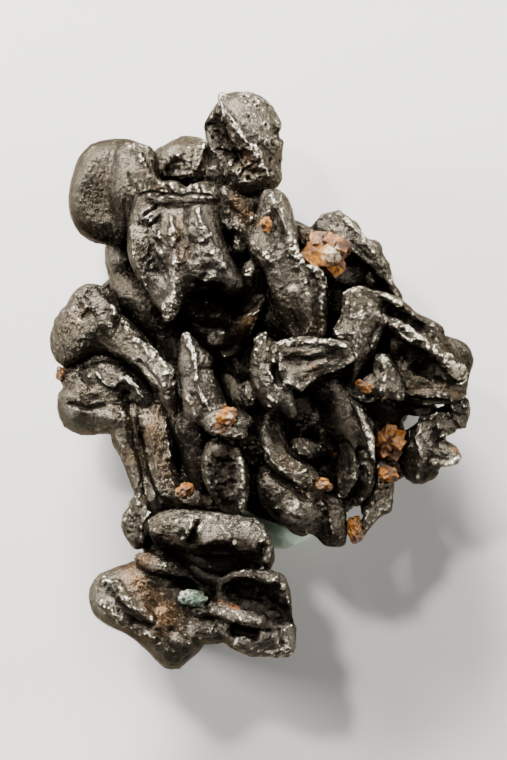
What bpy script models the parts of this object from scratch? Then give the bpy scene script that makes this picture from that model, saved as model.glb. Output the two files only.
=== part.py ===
# Acanthite specimen, lying on its back: one intergrown mass of stout, bent, worm-like
# silver sulphide crystals, with grains of rust-stained calcite lodged in it, a pale green
# crust on its lower wing and a lump of green putty pressed to its underside.
#
# Frame: +Z is up, away from the surface that the specimen lies on, and +Y runs from the
# lower wing to the top knob. The origin is on that surface, under the middle of the mass.
import math

import bmesh
import bpy
from mathutils import Matrix, Vector, noise

SPECIMEN_LENGTH = 0.0468  # lower wing to top knob, along Y
DRAWN_LENGTH = 46.8  # the same length in the units of the stations below
UNIT = SPECIMEN_LENGTH / DRAWN_LENGTH  # one drawn unit is one millimetre at this size
MIDDLE = (-0.24, 0.18)  # drawn x and y of the middle of the mass

WORM_SIDES = 20
WORM_RINGS = 26
PEBBLE_SIDES = 48
PEBBLE_RINGS = 16
END_ROUNDNESS = 2.6  # 2 gives a worm an egg's ends, more gives blunter ones
CORNER = 2.5  # 2 gives a worm an oval section, more gives a squarer one
TANGENT_STEP = 0.01  # share of a worm's length over which its direction is read
VOXEL = 0.30 * UNIT  # cell that the lumps are fused on
MASS_TRIANGLES = 7200
BED_VOXEL = 0.42 * UNIT
BED_TRIANGLES = 6000
FIT_GAP = 0.28 * UNIT  # room between the mass and what is lodged in it
ROUGHEN = 0.16 * UNIT  # height of the low swells on every lump
SWELL_SIZE = 1.9 * UNIT
SWELL_STRETCH = 0.5  # a pebble's swells are longer along its grain than across it
TIP_HOLD = 9  # only the very tips of a worm are pushed endways when it is grown
LEVEL_TOLERANCE = 1e-4 * UNIT
SHARP_ANGLE = 50.0

BALL_ROUNDS = 2  # subdivisions of the ball that a grain is struck from
PUTTY_ROUNDS = 4
GRAIN_CHIPS = 7
CRUST_CHIPS = 5
CHIP_DEPTH = 0.72  # distance of each struck face from the middle, of a ball of radius 1
CHIP_TURNS = ((1.7, 2.4), (2.3, 1.9), (1.0, 3.1))  # per seed and per chip, spreading the faces

# A worm is a list of stations from tip to tip, in drawn units:
# x, y, height of its centre line, half width, half thickness.
# A pebble has an outline, seen from above, round its middle; edge above 2 squares its sides,
# and turn is the way that its grain runs, in degrees from +X.
UPPER = {
    "top knob": {
        "middle": (-1.8, 19.5, 13.6), "thick": 3.3, "edge": 2.4, "turn": 70,
        "outline": [
            (-5.05, 20.2), (-4.4, 21.6), (-3.2, 22.9), (-1.7, 23.5), (-0.6, 23.3), (0.2, 22.6),
            (0.9, 21.4), (1.45, 20.3), (1.2, 19.5), (1.6, 19.0), (1.3, 18.1), (1.2, 16.8), (1.2, 15.8),
            (0.4, 15.0), (-1.0, 14.7), (-2.6, 15.2), (-3.4, 16.2), (-3.9, 17.4), (-4.6, 18.7),
        ],
    },
    "left knob": {
        "middle": (-12.6, 15.1, 12.0), "thick": 3.1, "edge": 2.4, "turn": 80,
        "outline": [
            (-9.4, 18.2), (-10.2, 19.1), (-11.7, 19.35), (-13.4, 19.1), (-14.5, 18.4), (-15.3, 16.8),
            (-15.75, 15.0), (-15.6, 13.2), (-14.8, 11.7), (-13.5, 10.9), (-11.9, 10.8), (-10.6, 11.2),
            (-9.9, 13.0), (-9.4, 16.0),
        ],
    },
    "left knob shoulder": [
        (-10.9, 18.7, 12.8, 1.6, 2.2), (-10.5, 17.3, 13.3, 2.1, 2.4), (-10.5, 14.8, 13.7, 2.1, 2.5),
        (-10.9, 12.0, 13.2, 1.7, 2.2),
    ],
    "tooth": {
        "middle": (-7.0, 11.0, 15.6), "thick": 3.5, "edge": 3.0, "turn": 85,
        "outline": [
            (-10.2, 15.0), (-8.5, 15.4), (-6.6, 15.3), (-4.4, 15.2), (-3.7, 14.4), (-3.6, 12.9),
            (-3.2, 11.0), (-2.6, 9.6), (-1.9, 8.3), (-1.6, 7.2), (-2.4, 6.6), (-3.8, 7.0), (-5.0, 7.0),
            (-5.9, 6.8), (-6.6, 6.0), (-7.2, 5.0), (-7.8, 4.6), (-8.4, 5.6), (-9.1, 6.8), (-10.1, 8.0),
            (-10.8, 9.4), (-11.0, 11.2), (-10.7, 13.4),
        ],
    },
    "tooth crust": {
        "middle": (-7.0, 14.9, 17.2), "thick": 2.0, "edge": 2.6, "turn": 0,
        "outline": [
            (-10.4, 16.2), (-9.6, 16.7), (-8.6, 15.9), (-7.0, 15.8), (-6.1, 15.2), (-5.7, 15.6),
            (-4.6, 15.8), (-3.7, 15.3), (-3.7, 14.2), (-5.4, 13.7), (-7.2, 13.6), (-8.8, 13.8),
            (-10.0, 14.5),
        ],
    },
    "block behind the tooth": {
        "middle": (-6.9, 17.3, 8.4), "thick": 3.0, "edge": 2.6, "turn": 80,
        "outline": [
            (-9.4, 17.4), (-9.0, 18.4), (-8.0, 19.1), (-7.3, 19.4), (-6.0, 19.45), (-5.0, 19.2),
            (-4.4, 18.4), (-4.2, 17.0), (-4.6, 15.4), (-7.0, 15.0), (-9.2, 15.6),
        ],
    },
    "nub behind the tooth": [
        (-8.9, 16.3, 10.3, 0.7, 0.9), (-8.3, 16.7, 10.8, 0.9, 1.1), (-7.5, 17.1, 10.6, 0.6, 0.7),
    ],
    "lump under the left knob": [
        (-11.6, 11.7, 8.5, 1.5, 2.2), (-11.3, 9.6, 8.3, 1.7, 2.4), (-11.0, 7.1, 8.2, 1.4, 2.0),
    ],
    "neck": {
        "middle": (-2.0, 12.6, 12.4), "thick": 2.0, "edge": 2.4, "turn": -55,
        "outline": [
            (-3.7, 15.2), (-2.2, 15.6), (-0.8, 14.8), (-0.1, 13.0), (-0.1, 11.4), (-1.2, 10.2),
            (-2.2, 9.6), (-3.6, 10.0), (-3.9, 12.0),
        ],
    },
    "blade": {
        "middle": (1.8, 9.2, 16.4), "thick": 2.0, "edge": 3.2, "turn": -72,
        "outline": [
            (-0.4, 14.3), (0.0, 15.1), (1.0, 15.2), (1.8, 14.6), (2.2, 13.4), (2.35, 12.2), (2.5, 10.6),
            (2.8, 9.5), (3.4, 9.1), (4.4, 8.7), (4.85, 7.5), (4.95, 5.5), (4.95, 3.4), (4.2, 2.4),
            (2.6, 2.6), (1.9, 3.6), (1.3, 4.9), (0.7, 6.2), (0.3, 7.3), (-0.1, 8.6), (-0.9, 9.8),
            (-1.35, 11.0), (-0.9, 12.0),
        ],
    },
    "blade root": [
        (0.6, 14.6, 13.6, 0.9, 1.8), (0.8, 12.4, 13.8, 1.1, 2.0), (1.5, 9.6, 14.0, 1.5, 2.4),
        (2.8, 6.6, 14.0, 1.5, 2.4), (3.6, 3.4, 13.8, 1.2, 2.2),
    ],
    "blade left bulge": [
        (-0.9, 12.2, 15.5, 0.5, 1.0), (-1.0, 11.0, 15.6, 0.65, 1.1), (-0.6, 9.7, 15.6, 0.5, 0.8),
    ],
    "blade left chip": [
        (-0.9, 9.4, 15.0, 0.4, 0.8), (-1.4, 8.5, 15.2, 0.55, 0.9), (-0.8, 7.3, 15.0, 0.4, 0.7),
    ],
}

RIGHT = {
    "upper right slab": {
        "middle": (7.1, 11.0, 11.4), "thick": 2.2, "edge": 2.6, "turn": -50,
        "outline": [
            (3.8, 12.3), (4.2, 13.0), (5.0, 13.5), (5.8, 13.7), (6.5, 13.2), (7.3, 12.5), (8.0, 11.5),
            (9.0, 11.2), (9.3, 10.6), (9.9, 9.2), (10.2, 8.2), (10.6, 7.4), (10.9, 6.9), (10.9, 6.2),
            (10.2, 6.5), (9.6, 7.4), (9.0, 8.0), (8.5, 8.7), (7.6, 9.3), (6.8, 10.0), (5.8, 10.3),
            (4.6, 10.9),
        ],
    },
    "upper right nub": [
        (7.9, 11.0, 12.4, 0.5, 1.2), (8.7, 10.7, 12.4, 0.65, 1.4), (9.4, 10.2, 12.2, 0.4, 1.0),
    ],
    "lump behind the grain": [
        (2.2, 12.1, 10.5, 0.7, 1.4), (3.2, 11.4, 10.8, 0.95, 1.6), (3.9, 10.0, 11.0, 0.9, 1.5),
    ],
    "saddle": {
        "middle": (7.6, 4.4, 16.8), "thick": 2.4, "edge": 2.6, "turn": 80,
        "outline": [
            (6.3, 6.8), (7.0, 7.2), (8.0, 7.1), (9.0, 6.7), (9.6, 5.6), (9.5, 4.5), (9.0, 3.0),
            (8.6, 2.0), (7.8, 0.9), (7.2, -0.1), (6.8, -1.0), (6.6, -0.2), (6.7, 1.6), (6.2, 2.8),
            (5.3, 3.5), (5.6, 4.1), (6.0, 5.0), (6.1, 6.1),
        ],
    },
    "saddle band": [
        (6.1, 6.1, 16.2, 0.4, 0.8), (7.4, 6.95, 16.6, 0.5, 0.9), (9.0, 6.6, 16.4, 0.5, 1.0),
        (10.5, 6.0, 15.8, 0.5, 1.1), (11.6, 5.1, 15.2, 0.5, 1.0), (12.9, 4.45, 14.8, 0.45, 0.9),
        (14.3, 3.9, 14.4, 0.4, 0.6),
    ],
    "arm crest": [
        (9.1, 4.7, 15.8, 0.7, 1.2), (10.8, 4.1, 15.8, 0.8, 1.3), (12.4, 3.2, 15.7, 0.8, 1.4),
        (13.7, 2.2, 15.6, 0.85, 1.5), (14.8, 1.2, 15.4, 0.85, 1.4), (15.7, -0.2, 15.0, 0.6, 1.1),
    ],
    "arm end knob": [
        (14.1, 3.2, 14.0, 0.6, 0.9), (15.2, 2.4, 14.0, 1.05, 1.3), (15.9, 1.5, 13.8, 0.85, 1.1),
        (16.0, 0.4, 13.6, 0.5, 0.8),
    ],
    "arm shelf": [
        (10.9, -1.0, 14.2, 0.5, 1.0), (12.6, -1.3, 14.6, 0.8, 1.2), (14.2, -1.3, 14.6, 0.75, 1.2),
        (15.9, -1.3, 14.2, 0.5, 0.9),
    ],
    "lump under the shelf": [
        (10.7, -1.9, 12.6, 0.7, 1.0), (11.8, -2.35, 12.9, 0.7, 1.1), (12.9, -2.4, 12.8, 0.6, 0.8),
        (13.9, -2.2, 12.8, 0.45, 0.6),
    ],
    "wedge": {
        "middle": (9.0, 0.0, 16.4), "thick": 1.5, "edge": 2.6, "turn": 60,
        "outline": [
            (8.9, 2.1), (9.8, 2.1), (10.4, 1.0), (10.9, 0.0), (11.1, -0.9), (10.8, -1.6), (10.0, -1.5),
            (9.0, -1.3), (8.0, -1.6), (7.0, -1.4), (6.5, -0.9), (6.4, -0.3), (7.6, 0.2), (8.3, 1.0),
        ],
    },
    "wedge floor": [
        (7.3, -0.2, 15.6, 0.7, 0.9), (8.4, -0.3, 15.8, 0.9, 1.0), (9.4, -0.4, 15.8, 0.8, 0.9),
    ],
    "right knob": {
        "middle": (12.9, -5.4, 12.2), "thick": 2.2, "edge": 2.5, "turn": 75,
        "outline": [
            (13.0, -2.75), (13.9, -2.15), (14.9, -2.35), (15.6, -3.2), (15.3, -4.0), (14.5, -4.2),
            (14.5, -4.9), (15.2, -5.2), (15.6, -6.0), (15.3, -6.8), (14.2, -6.9), (13.9, -7.8),
            (12.9, -8.35), (11.7, -8.1), (10.9, -7.2), (10.9, -5.7), (11.3, -4.2), (12.0, -3.6),
        ],
    },
    "right knob hook": [
        (14.3, -1.4, 13.0, 0.6, 0.9), (15.1, -1.9, 13.3, 0.6, 0.8), (15.6, -2.9, 13.2, 0.5, 0.7),
        (15.9, -3.9, 12.8, 0.3, 0.5),
    ],
    "right claw": [
        (15.7, -1.2, 13.8, 0.4, 0.6), (16.05, -2.4, 13.4, 0.36, 0.5), (15.8, -3.6, 13.1, 0.34, 0.45),
    ],
    "right knob root": [
        (10.4, -2.6, 11.0, 0.7, 1.3), (10.7, -5.0, 11.0, 0.7, 1.7), (11.4, -7.0, 11.0, 0.7, 1.5),
    ],
    "arm face": {
        "middle": (12.6, 1.6, 14.0), "thick": 1.9, "edge": 3.0, "turn": -30,
        "outline": [
            (9.4, 6.2), (10.2, 6.2), (11.3, 5.3), (12.4, 4.8), (13.5, 4.4), (14.1, 3.9), (14.5, 3.3),
            (15.2, 3.0), (16.0, 2.8), (16.4, 2.1), (16.5, 1.2), (16.3, 0.2), (16.1, -1.2), (15.4, -1.8),
            (14.3, -1.8), (13.2, -2.1), (12.0, -2.0), (10.9, -1.5), (10.2, 0.0), (9.8, 1.6), (9.3, 3.0),
            (9.2, 4.6),
        ],
    },
}

CENTRE = {
    "foot plate": {
        "middle": (3.2, 1.6, 19.2), "thick": 1.5, "edge": 4.0, "turn": 0,
        "outline": [
            (0.4, 1.7), (0.7, 2.6), (1.9, 3.15), (3.6, 3.3), (5.9, 3.15), (6.8, 2.6), (7.05, 1.9),
            (6.4, 1.2), (5.0, 0.7), (4.0, 0.3), (3.4, -0.4), (2.7, -0.7), (1.8, -0.4), (1.5, 0.5),
            (0.8, 1.1),
        ],
    },
    "foot leg": {
        "middle": (0.4, 0.3, 17.9), "thick": 1.7, "edge": 2.6, "turn": 80,
        "outline": [
            (-0.4, 3.7), (-1.0, 2.3), (-1.2, 1.0), (-1.1, -0.5), (-0.6, -1.5), (0.0, -2.3), (0.6, -2.6),
            (1.2, -2.4), (1.6, -2.9), (2.2, -3.2), (2.6, -2.6), (2.2, -1.0), (2.0, 0.2), (1.4, 1.6),
            (0.6, 3.2),
        ],
    },
    "long band": [
        (4.6, 0.8, 13.2, 1.4, 1.4), (5.5, -1.4, 13.7, 1.8, 1.6), (6.4, -3.4, 14.1, 1.8, 1.6),
        (7.3, -5.2, 14.4, 1.3, 1.5), (7.95, -7.0, 14.4, 0.95, 1.3), (7.8, -8.6, 14.2, 0.8, 1.1),
        (7.1, -10.0, 14.0, 0.5, 0.8),
    ],
    "long band rim": [
        (6.9, -1.4, 15.4, 0.32, 0.4), (7.7, -3.0, 15.7, 0.32, 0.4), (8.35, -4.4, 15.8, 0.32, 0.4),
        (8.7, -6.2, 15.6, 0.3, 0.4),
    ],
    "crescent": [
        (6.1, -4.8, 15.6, 0.5, 0.7), (6.7, -6.2, 16.2, 0.8, 1.0), (6.6, -7.6, 16.4, 0.95, 1.1),
        (5.9, -9.3, 16.0, 0.6, 0.8),
    ],
    "bent worm": [
        (1.0, -2.2, 14.6, 0.9, 1.2), (0.6, -4.2, 15.4, 1.3, 1.6), (0.9, -5.9, 15.7, 1.2, 1.5),
        (2.1, -7.0, 15.8, 1.1, 1.4), (3.3, -7.9, 15.7, 1.1, 1.4), (3.9, -9.0, 15.3, 1.1, 1.4),
        (4.0, -10.4, 14.8, 0.9, 1.2),
    ],
    "worm apron": {
        "middle": (2.0, -9.2, 14.4), "thick": 1.9, "edge": 2.6, "turn": -50,
        "outline": [
            (-0.9, -8.2), (-0.6, -9.4), (0.4, -10.7), (1.5, -11.7), (3.0, -12.3), (4.4, -12.0),
            (5.0, -10.6), (4.8, -8.8), (3.8, -7.2), (2.4, -6.4), (0.8, -6.3), (-0.4, -7.0),
        ],
    },
    "worm shoulder": [
        (2.0, -5.2, 13.6, 0.8, 1.1), (3.6, -5.6, 13.8, 0.85, 1.1), (5.1, -5.7, 13.8, 0.6, 0.9),
    ],
    "bud": [(1.5, -10.5, 16.2, 1.0, 1.3), (2.6, -10.4, 16.7, 1.2, 1.6), (3.7, -10.5, 16.2, 0.9, 1.2)],
    "bud stalk": [
        (0.2, -8.0, 13.0, 1.1, 1.5), (1.6, -9.6, 13.4, 1.3, 1.7), (2.6, -11.0, 13.8, 1.2, 1.7),
        (3.3, -12.4, 13.4, 0.8, 1.2),
    ],
    "dark lump": {
        "middle": (5.1, -11.2, 13.8), "thick": 1.8, "edge": 2.4, "turn": 70,
        "outline": [
            (4.0, -9.4), (5.0, -9.0), (6.2, -9.4), (6.6, -11.0), (6.6, -12.6), (6.2, -13.3), (5.0, -13.3),
            (4.3, -12.9), (3.6, -12.0), (3.8, -10.6),
        ],
    },
    "fin": {
        "middle": (9.2, -9.0, 12.9), "thick": 1.4, "edge": 2.8, "turn": 70,
        "outline": [
            (9.6, -6.2), (10.4, -7.3), (10.4, -8.8), (10.2, -9.5), (10.0, -10.4), (9.4, -10.7),
            (8.6, -11.5), (8.0, -12.3), (7.5, -13.0), (7.4, -12.2), (7.9, -10.8), (8.0, -9.2),
            (8.4, -7.6), (8.7, -6.2),
        ],
    },
    "column top": {
        "middle": (-5.5, 1.5, 16.6), "thick": 1.5, "edge": 2.6, "turn": 65,
        "outline": [
            (-6.7, 3.2), (-6.4, 3.7), (-5.6, 3.4), (-4.9, 2.6), (-4.2, 2.0), (-4.1, 0.9), (-4.6, 0.3),
            (-5.0, -0.6), (-6.3, -0.6), (-6.7, 0.2), (-6.9, 1.4),
        ],
    },
    "column foot": {
        "middle": (-5.0, -1.2, 16.6), "thick": 1.6, "edge": 2.6, "turn": 110,
        "outline": [
            (-6.6, 1.0), (-5.6, 1.5), (-4.5, 1.1), (-4.0, 0.1), (-3.4, -1.2), (-3.0, -2.3), (-3.4, -3.2),
            (-4.1, -3.5), (-5.5, -3.5), (-6.4, -2.7), (-6.6, -1.2),
        ],
    },
    "grain seat": {
        "middle": (-2.9, -3.4, 17.4), "thick": 1.5, "edge": 2.6, "turn": 0,
        "outline": [
            (-4.1, -2.5), (-3.0, -2.2), (-2.0, -2.4), (-1.2, -2.8), (-0.8, -3.3), (-1.3, -4.0),
            (-1.5, -4.7), (-3.0, -4.6), (-4.4, -4.3), (-4.9, -3.4),
        ],
    },
    "fang": {
        "middle": (-3.2, -7.4, 16.4), "thick": 2.3, "edge": 2.5, "turn": 85,
        "outline": [
            (-3.8, -4.6), (-3.0, -4.8), (-2.2, -5.6), (-1.6, -6.6), (-1.3, -7.6), (-1.4, -9.0),
            (-1.7, -10.5), (-2.8, -11.0), (-4.0, -9.8), (-4.8, -8.2), (-5.0, -7.0), (-5.0, -6.0),
            (-4.6, -5.0),
        ],
    },
    "pit ball": [(-4.5, 3.4, 12.6, 0.8, 1.0), (-3.6, 3.4, 12.9, 1.0, 1.2), (-2.7, 3.4, 12.6, 0.8, 1.0)],
    "pit blade": [
        (-2.3, 3.0, 12.4, 0.6, 0.9), (-1.7, 4.4, 13.0, 0.85, 1.1), (-0.9, 5.3, 13.2, 0.6, 0.9),
        (0.0, 6.7, 13.4, 0.35, 0.7),
    ],
    "pit chip": [(-3.3, 2.1, 12.2, 0.5, 0.7), (-2.6, 2.4, 12.5, 0.6, 0.8), (-1.9, 2.6, 12.2, 0.5, 0.7)],
    "pit lump": [
        (-1.4, 0.0, 14.0, 0.5, 0.8), (-1.2, -1.3, 14.4, 0.75, 1.0), (-1.5, -2.3, 14.0, 0.5, 0.8),
    ],
}

LEFT = {
    "upper lobe": {
        "middle": (-14.0, 4.5, 11.4), "thick": 2.9, "edge": 2.5, "turn": 60,
        "outline": [
            (-14.6, 7.7), (-13.6, 7.85), (-12.5, 7.5), (-11.7, 6.7), (-11.4, 5.2), (-11.0, 3.8),
            (-11.2, 2.4), (-12.4, 1.9), (-13.9, 1.8), (-15.0, 1.3), (-16.0, 0.95), (-16.7, 1.4),
            (-17.1, 2.6), (-17.05, 4.2), (-16.5, 5.5), (-15.9, 6.0), (-15.4, 7.0),
        ],
    },
    "upper arm": [
        (-13.4, 4.9, 11.9, 2.1, 2.2), (-11.8, 3.7, 12.6, 1.75, 2.0), (-10.1, 2.1, 13.6, 1.25, 1.7),
        (-8.8, 0.8, 14.7, 1.15, 1.6), (-7.8, -0.8, 15.5, 1.1, 1.5), (-7.1, -3.0, 15.4, 0.55, 1.0),
    ],
    "lobe shoulder": [
        (-13.9, 6.7, 11.6, 0.9, 1.9), (-12.6, 5.7, 12.4, 1.1, 2.2), (-12.0, 4.0, 12.8, 1.2, 2.1),
        (-10.9, 2.9, 13.0, 0.9, 1.8),
    ],
    "lower lobe": {
        "middle": (-13.9, -1.3, 10.8), "thick": 2.4, "edge": 2.5, "turn": 20,
        "outline": [
            (-15.9, 1.1), (-14.6, 1.5), (-13.6, 1.6), (-12.4, 1.6), (-11.2, 1.3), (-10.4, 0.2),
            (-10.4, -1.4), (-11.0, -2.8), (-11.8, -4.2), (-12.9, -4.3), (-13.9, -4.4), (-15.2, -4.25),
            (-16.1, -3.8), (-16.7, -2.8), (-16.8, -1.9), (-16.6, -1.1), (-16.1, -0.6), (-16.4, 0.0),
            (-16.3, 0.7),
        ],
    },
    "lower arm": [
        (-14.2, 0.4, 11.2, 1.1, 1.6), (-12.6, 0.5, 12.0, 1.1, 1.6), (-11.2, 0.0, 12.3, 1.0, 1.5),
        (-10.1, -1.1, 12.5, 0.9, 1.4), (-8.9, -2.3, 12.6, 0.8, 1.2),
    ],
    "lower arm fold": [
        (-14.0, -2.6, 11.0, 1.2, 1.7), (-12.6, -2.7, 11.8, 1.1, 1.5), (-11.5, -3.4, 12.2, 0.9, 1.3),
        (-10.9, -5.0, 12.2, 0.7, 1.1),
    ],
    "thin leg": [
        (-12.0, -2.8, 12.2, 1.0, 1.3), (-11.35, -4.6, 12.3, 0.95, 1.3), (-10.8, -6.2, 12.5, 0.8, 1.1),
        (-10.3, -7.8, 12.8, 0.65, 1.0), (-9.9, -9.6, 13.2, 0.55, 0.9),
    ],
    "striped band": [
        (-9.2, -0.8, 12.4, 1.1, 1.4), (-8.9, -3.0, 12.6, 1.5, 1.6), (-8.5, -5.1, 12.8, 1.35, 1.5),
        (-8.2, -7.1, 13.0, 1.15, 1.4), (-7.5, -8.9, 13.1, 1.0, 1.3), (-6.0, -10.2, 13.2, 0.8, 1.1),
    ],
    "band end": [
        (-6.8, -9.3, 14.0, 0.5, 0.7), (-5.8, -9.4, 14.6, 0.8, 0.9), (-4.8, -9.9, 14.4, 0.5, 0.7),
    ],
}

LOWER = {
    "cross bar": {
        "middle": (-4.4, -12.1, 16.4), "thick": 2.2, "edge": 2.8, "turn": -3,
        "outline": [
            (-9.4, -11.9), (-9.1, -10.8), (-7.6, -10.25), (-5.0, -10.35), (-2.8, -10.35), (-1.0, -10.9),
            (0.1, -11.9), (0.6, -13.0), (0.55, -14.2), (-0.1, -14.6), (-1.4, -14.2), (-3.2, -13.9),
            (-5.4, -13.8), (-7.5, -13.5), (-8.9, -12.9),
        ],
    },
    "cross bar belly": [
        (-7.2, -13.3, 14.4, 1.0, 1.5), (-4.3, -13.9, 14.4, 1.3, 1.7), (-1.8, -14.1, 14.2, 1.25, 1.6),
        (0.2, -14.5, 14.2, 0.9, 1.3),
    ],
    "cross bar hook": [
        (0.2, -12.7, 16.4, 0.4, 0.6), (0.35, -14.2, 16.2, 0.4, 0.6), (0.0, -15.5, 15.6, 0.4, 0.6),
    ],
    "left toe": {
        "middle": (-10.1, -11.3, 14.2), "thick": 1.5, "edge": 2.5, "turn": 80,
        "outline": [
            (-10.2, -9.0), (-10.95, -10.0), (-11.35, -11.4), (-11.0, -12.6), (-10.3, -13.5),
            (-9.4, -13.3), (-9.0, -12.2), (-9.0, -10.6), (-9.3, -9.4),
        ],
    },
    "wing": {
        "middle": (-9.0, -18.5, 13.0), "thick": 2.6, "edge": 2.5, "turn": -38,
        "outline": [
            (-9.4, -13.6), (-10.6, -14.5), (-12.1, -15.0), (-13.2, -15.4), (-13.9, -16.2),
            (-14.1, -17.2), (-13.95, -18.3), (-13.4, -19.1), (-12.6, -19.6), (-11.5, -20.1),
            (-10.4, -20.8), (-9.5, -21.7), (-8.5, -22.7), (-7.5, -23.2), (-6.4, -23.0), (-5.1, -22.3),
            (-4.4, -21.4), (-4.0, -20.2), (-4.2, -19.1), (-4.8, -17.9), (-5.9, -16.6), (-7.2, -15.4),
            (-8.3, -14.3),
        ],
    },
    "wing collar": [
        (-10.4, -14.0, 14.4, 0.55, 0.8), (-9.0, -14.6, 15.2, 0.8, 1.1), (-7.6, -14.9, 15.6, 0.8, 1.1),
        (-6.1, -15.4, 15.2, 0.5, 0.8),
    ],
    "shell rim": [
        (-3.9, -16.9, 15.4, 0.35, 0.6), (-3.1, -15.9, 16.0, 0.5, 0.8), (-1.6, -15.4, 16.2, 0.5, 0.9),
        (0.1, -15.5, 16.2, 0.5, 0.9), (1.3, -15.9, 15.9, 0.5, 0.9), (1.75, -16.9, 15.2, 0.35, 0.7),
    ],
    "shell floor": {
        "middle": (-0.6, -17.2, 13.9), "thick": 1.5, "edge": 2.8, "turn": -30,
        "outline": [
            (-3.7, -16.5), (-3.0, -15.6), (-1.8, -15.2), (0.0, -15.25), (1.2, -15.5), (1.8, -16.0),
            (2.05, -17.0), (2.05, -18.3), (2.2, -19.4), (1.0, -19.6), (-0.5, -19.0), (-2.5, -18.2),
            (-3.9, -17.3),
        ],
    },
    "heel ridge": [
        (-4.9, -18.3, 15.0, 0.4, 0.6), (-3.6, -18.4, 15.5, 0.6, 0.9), (-1.9, -18.8, 15.9, 0.65, 1.0),
        (-0.3, -19.1, 15.9, 0.65, 1.0), (0.7, -19.7, 15.5, 0.5, 0.8),
    ],
    "heel": {
        "middle": (-0.8, -20.4, 14.2), "thick": 1.7, "edge": 2.6, "turn": -10,
        "outline": [
            (-4.1, -19.3), (-3.9, -20.4), (-3.0, -21.3), (-1.9, -21.8), (-0.4, -22.15), (1.4, -22.15),
            (2.3, -21.5), (2.55, -20.5), (2.3, -19.4), (0.5, -19.0), (-2.0, -18.5), (-3.8, -18.4),
        ],
    },
    "heel web": [
        (-5.8, -18.7, 14.4, 0.8, 1.2), (-4.2, -18.2, 14.8, 0.65, 1.0), (-2.6, -18.1, 14.8, 0.6, 1.0),
        (-0.8, -18.6, 14.6, 0.5, 0.9),
    ],
    "heel floor": [
        (-3.2, -20.0, 12.8, 1.2, 1.3), (-0.8, -20.1, 12.9, 1.25, 1.3), (1.4, -19.5, 12.9, 1.1, 1.2),
    ],
}

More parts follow.
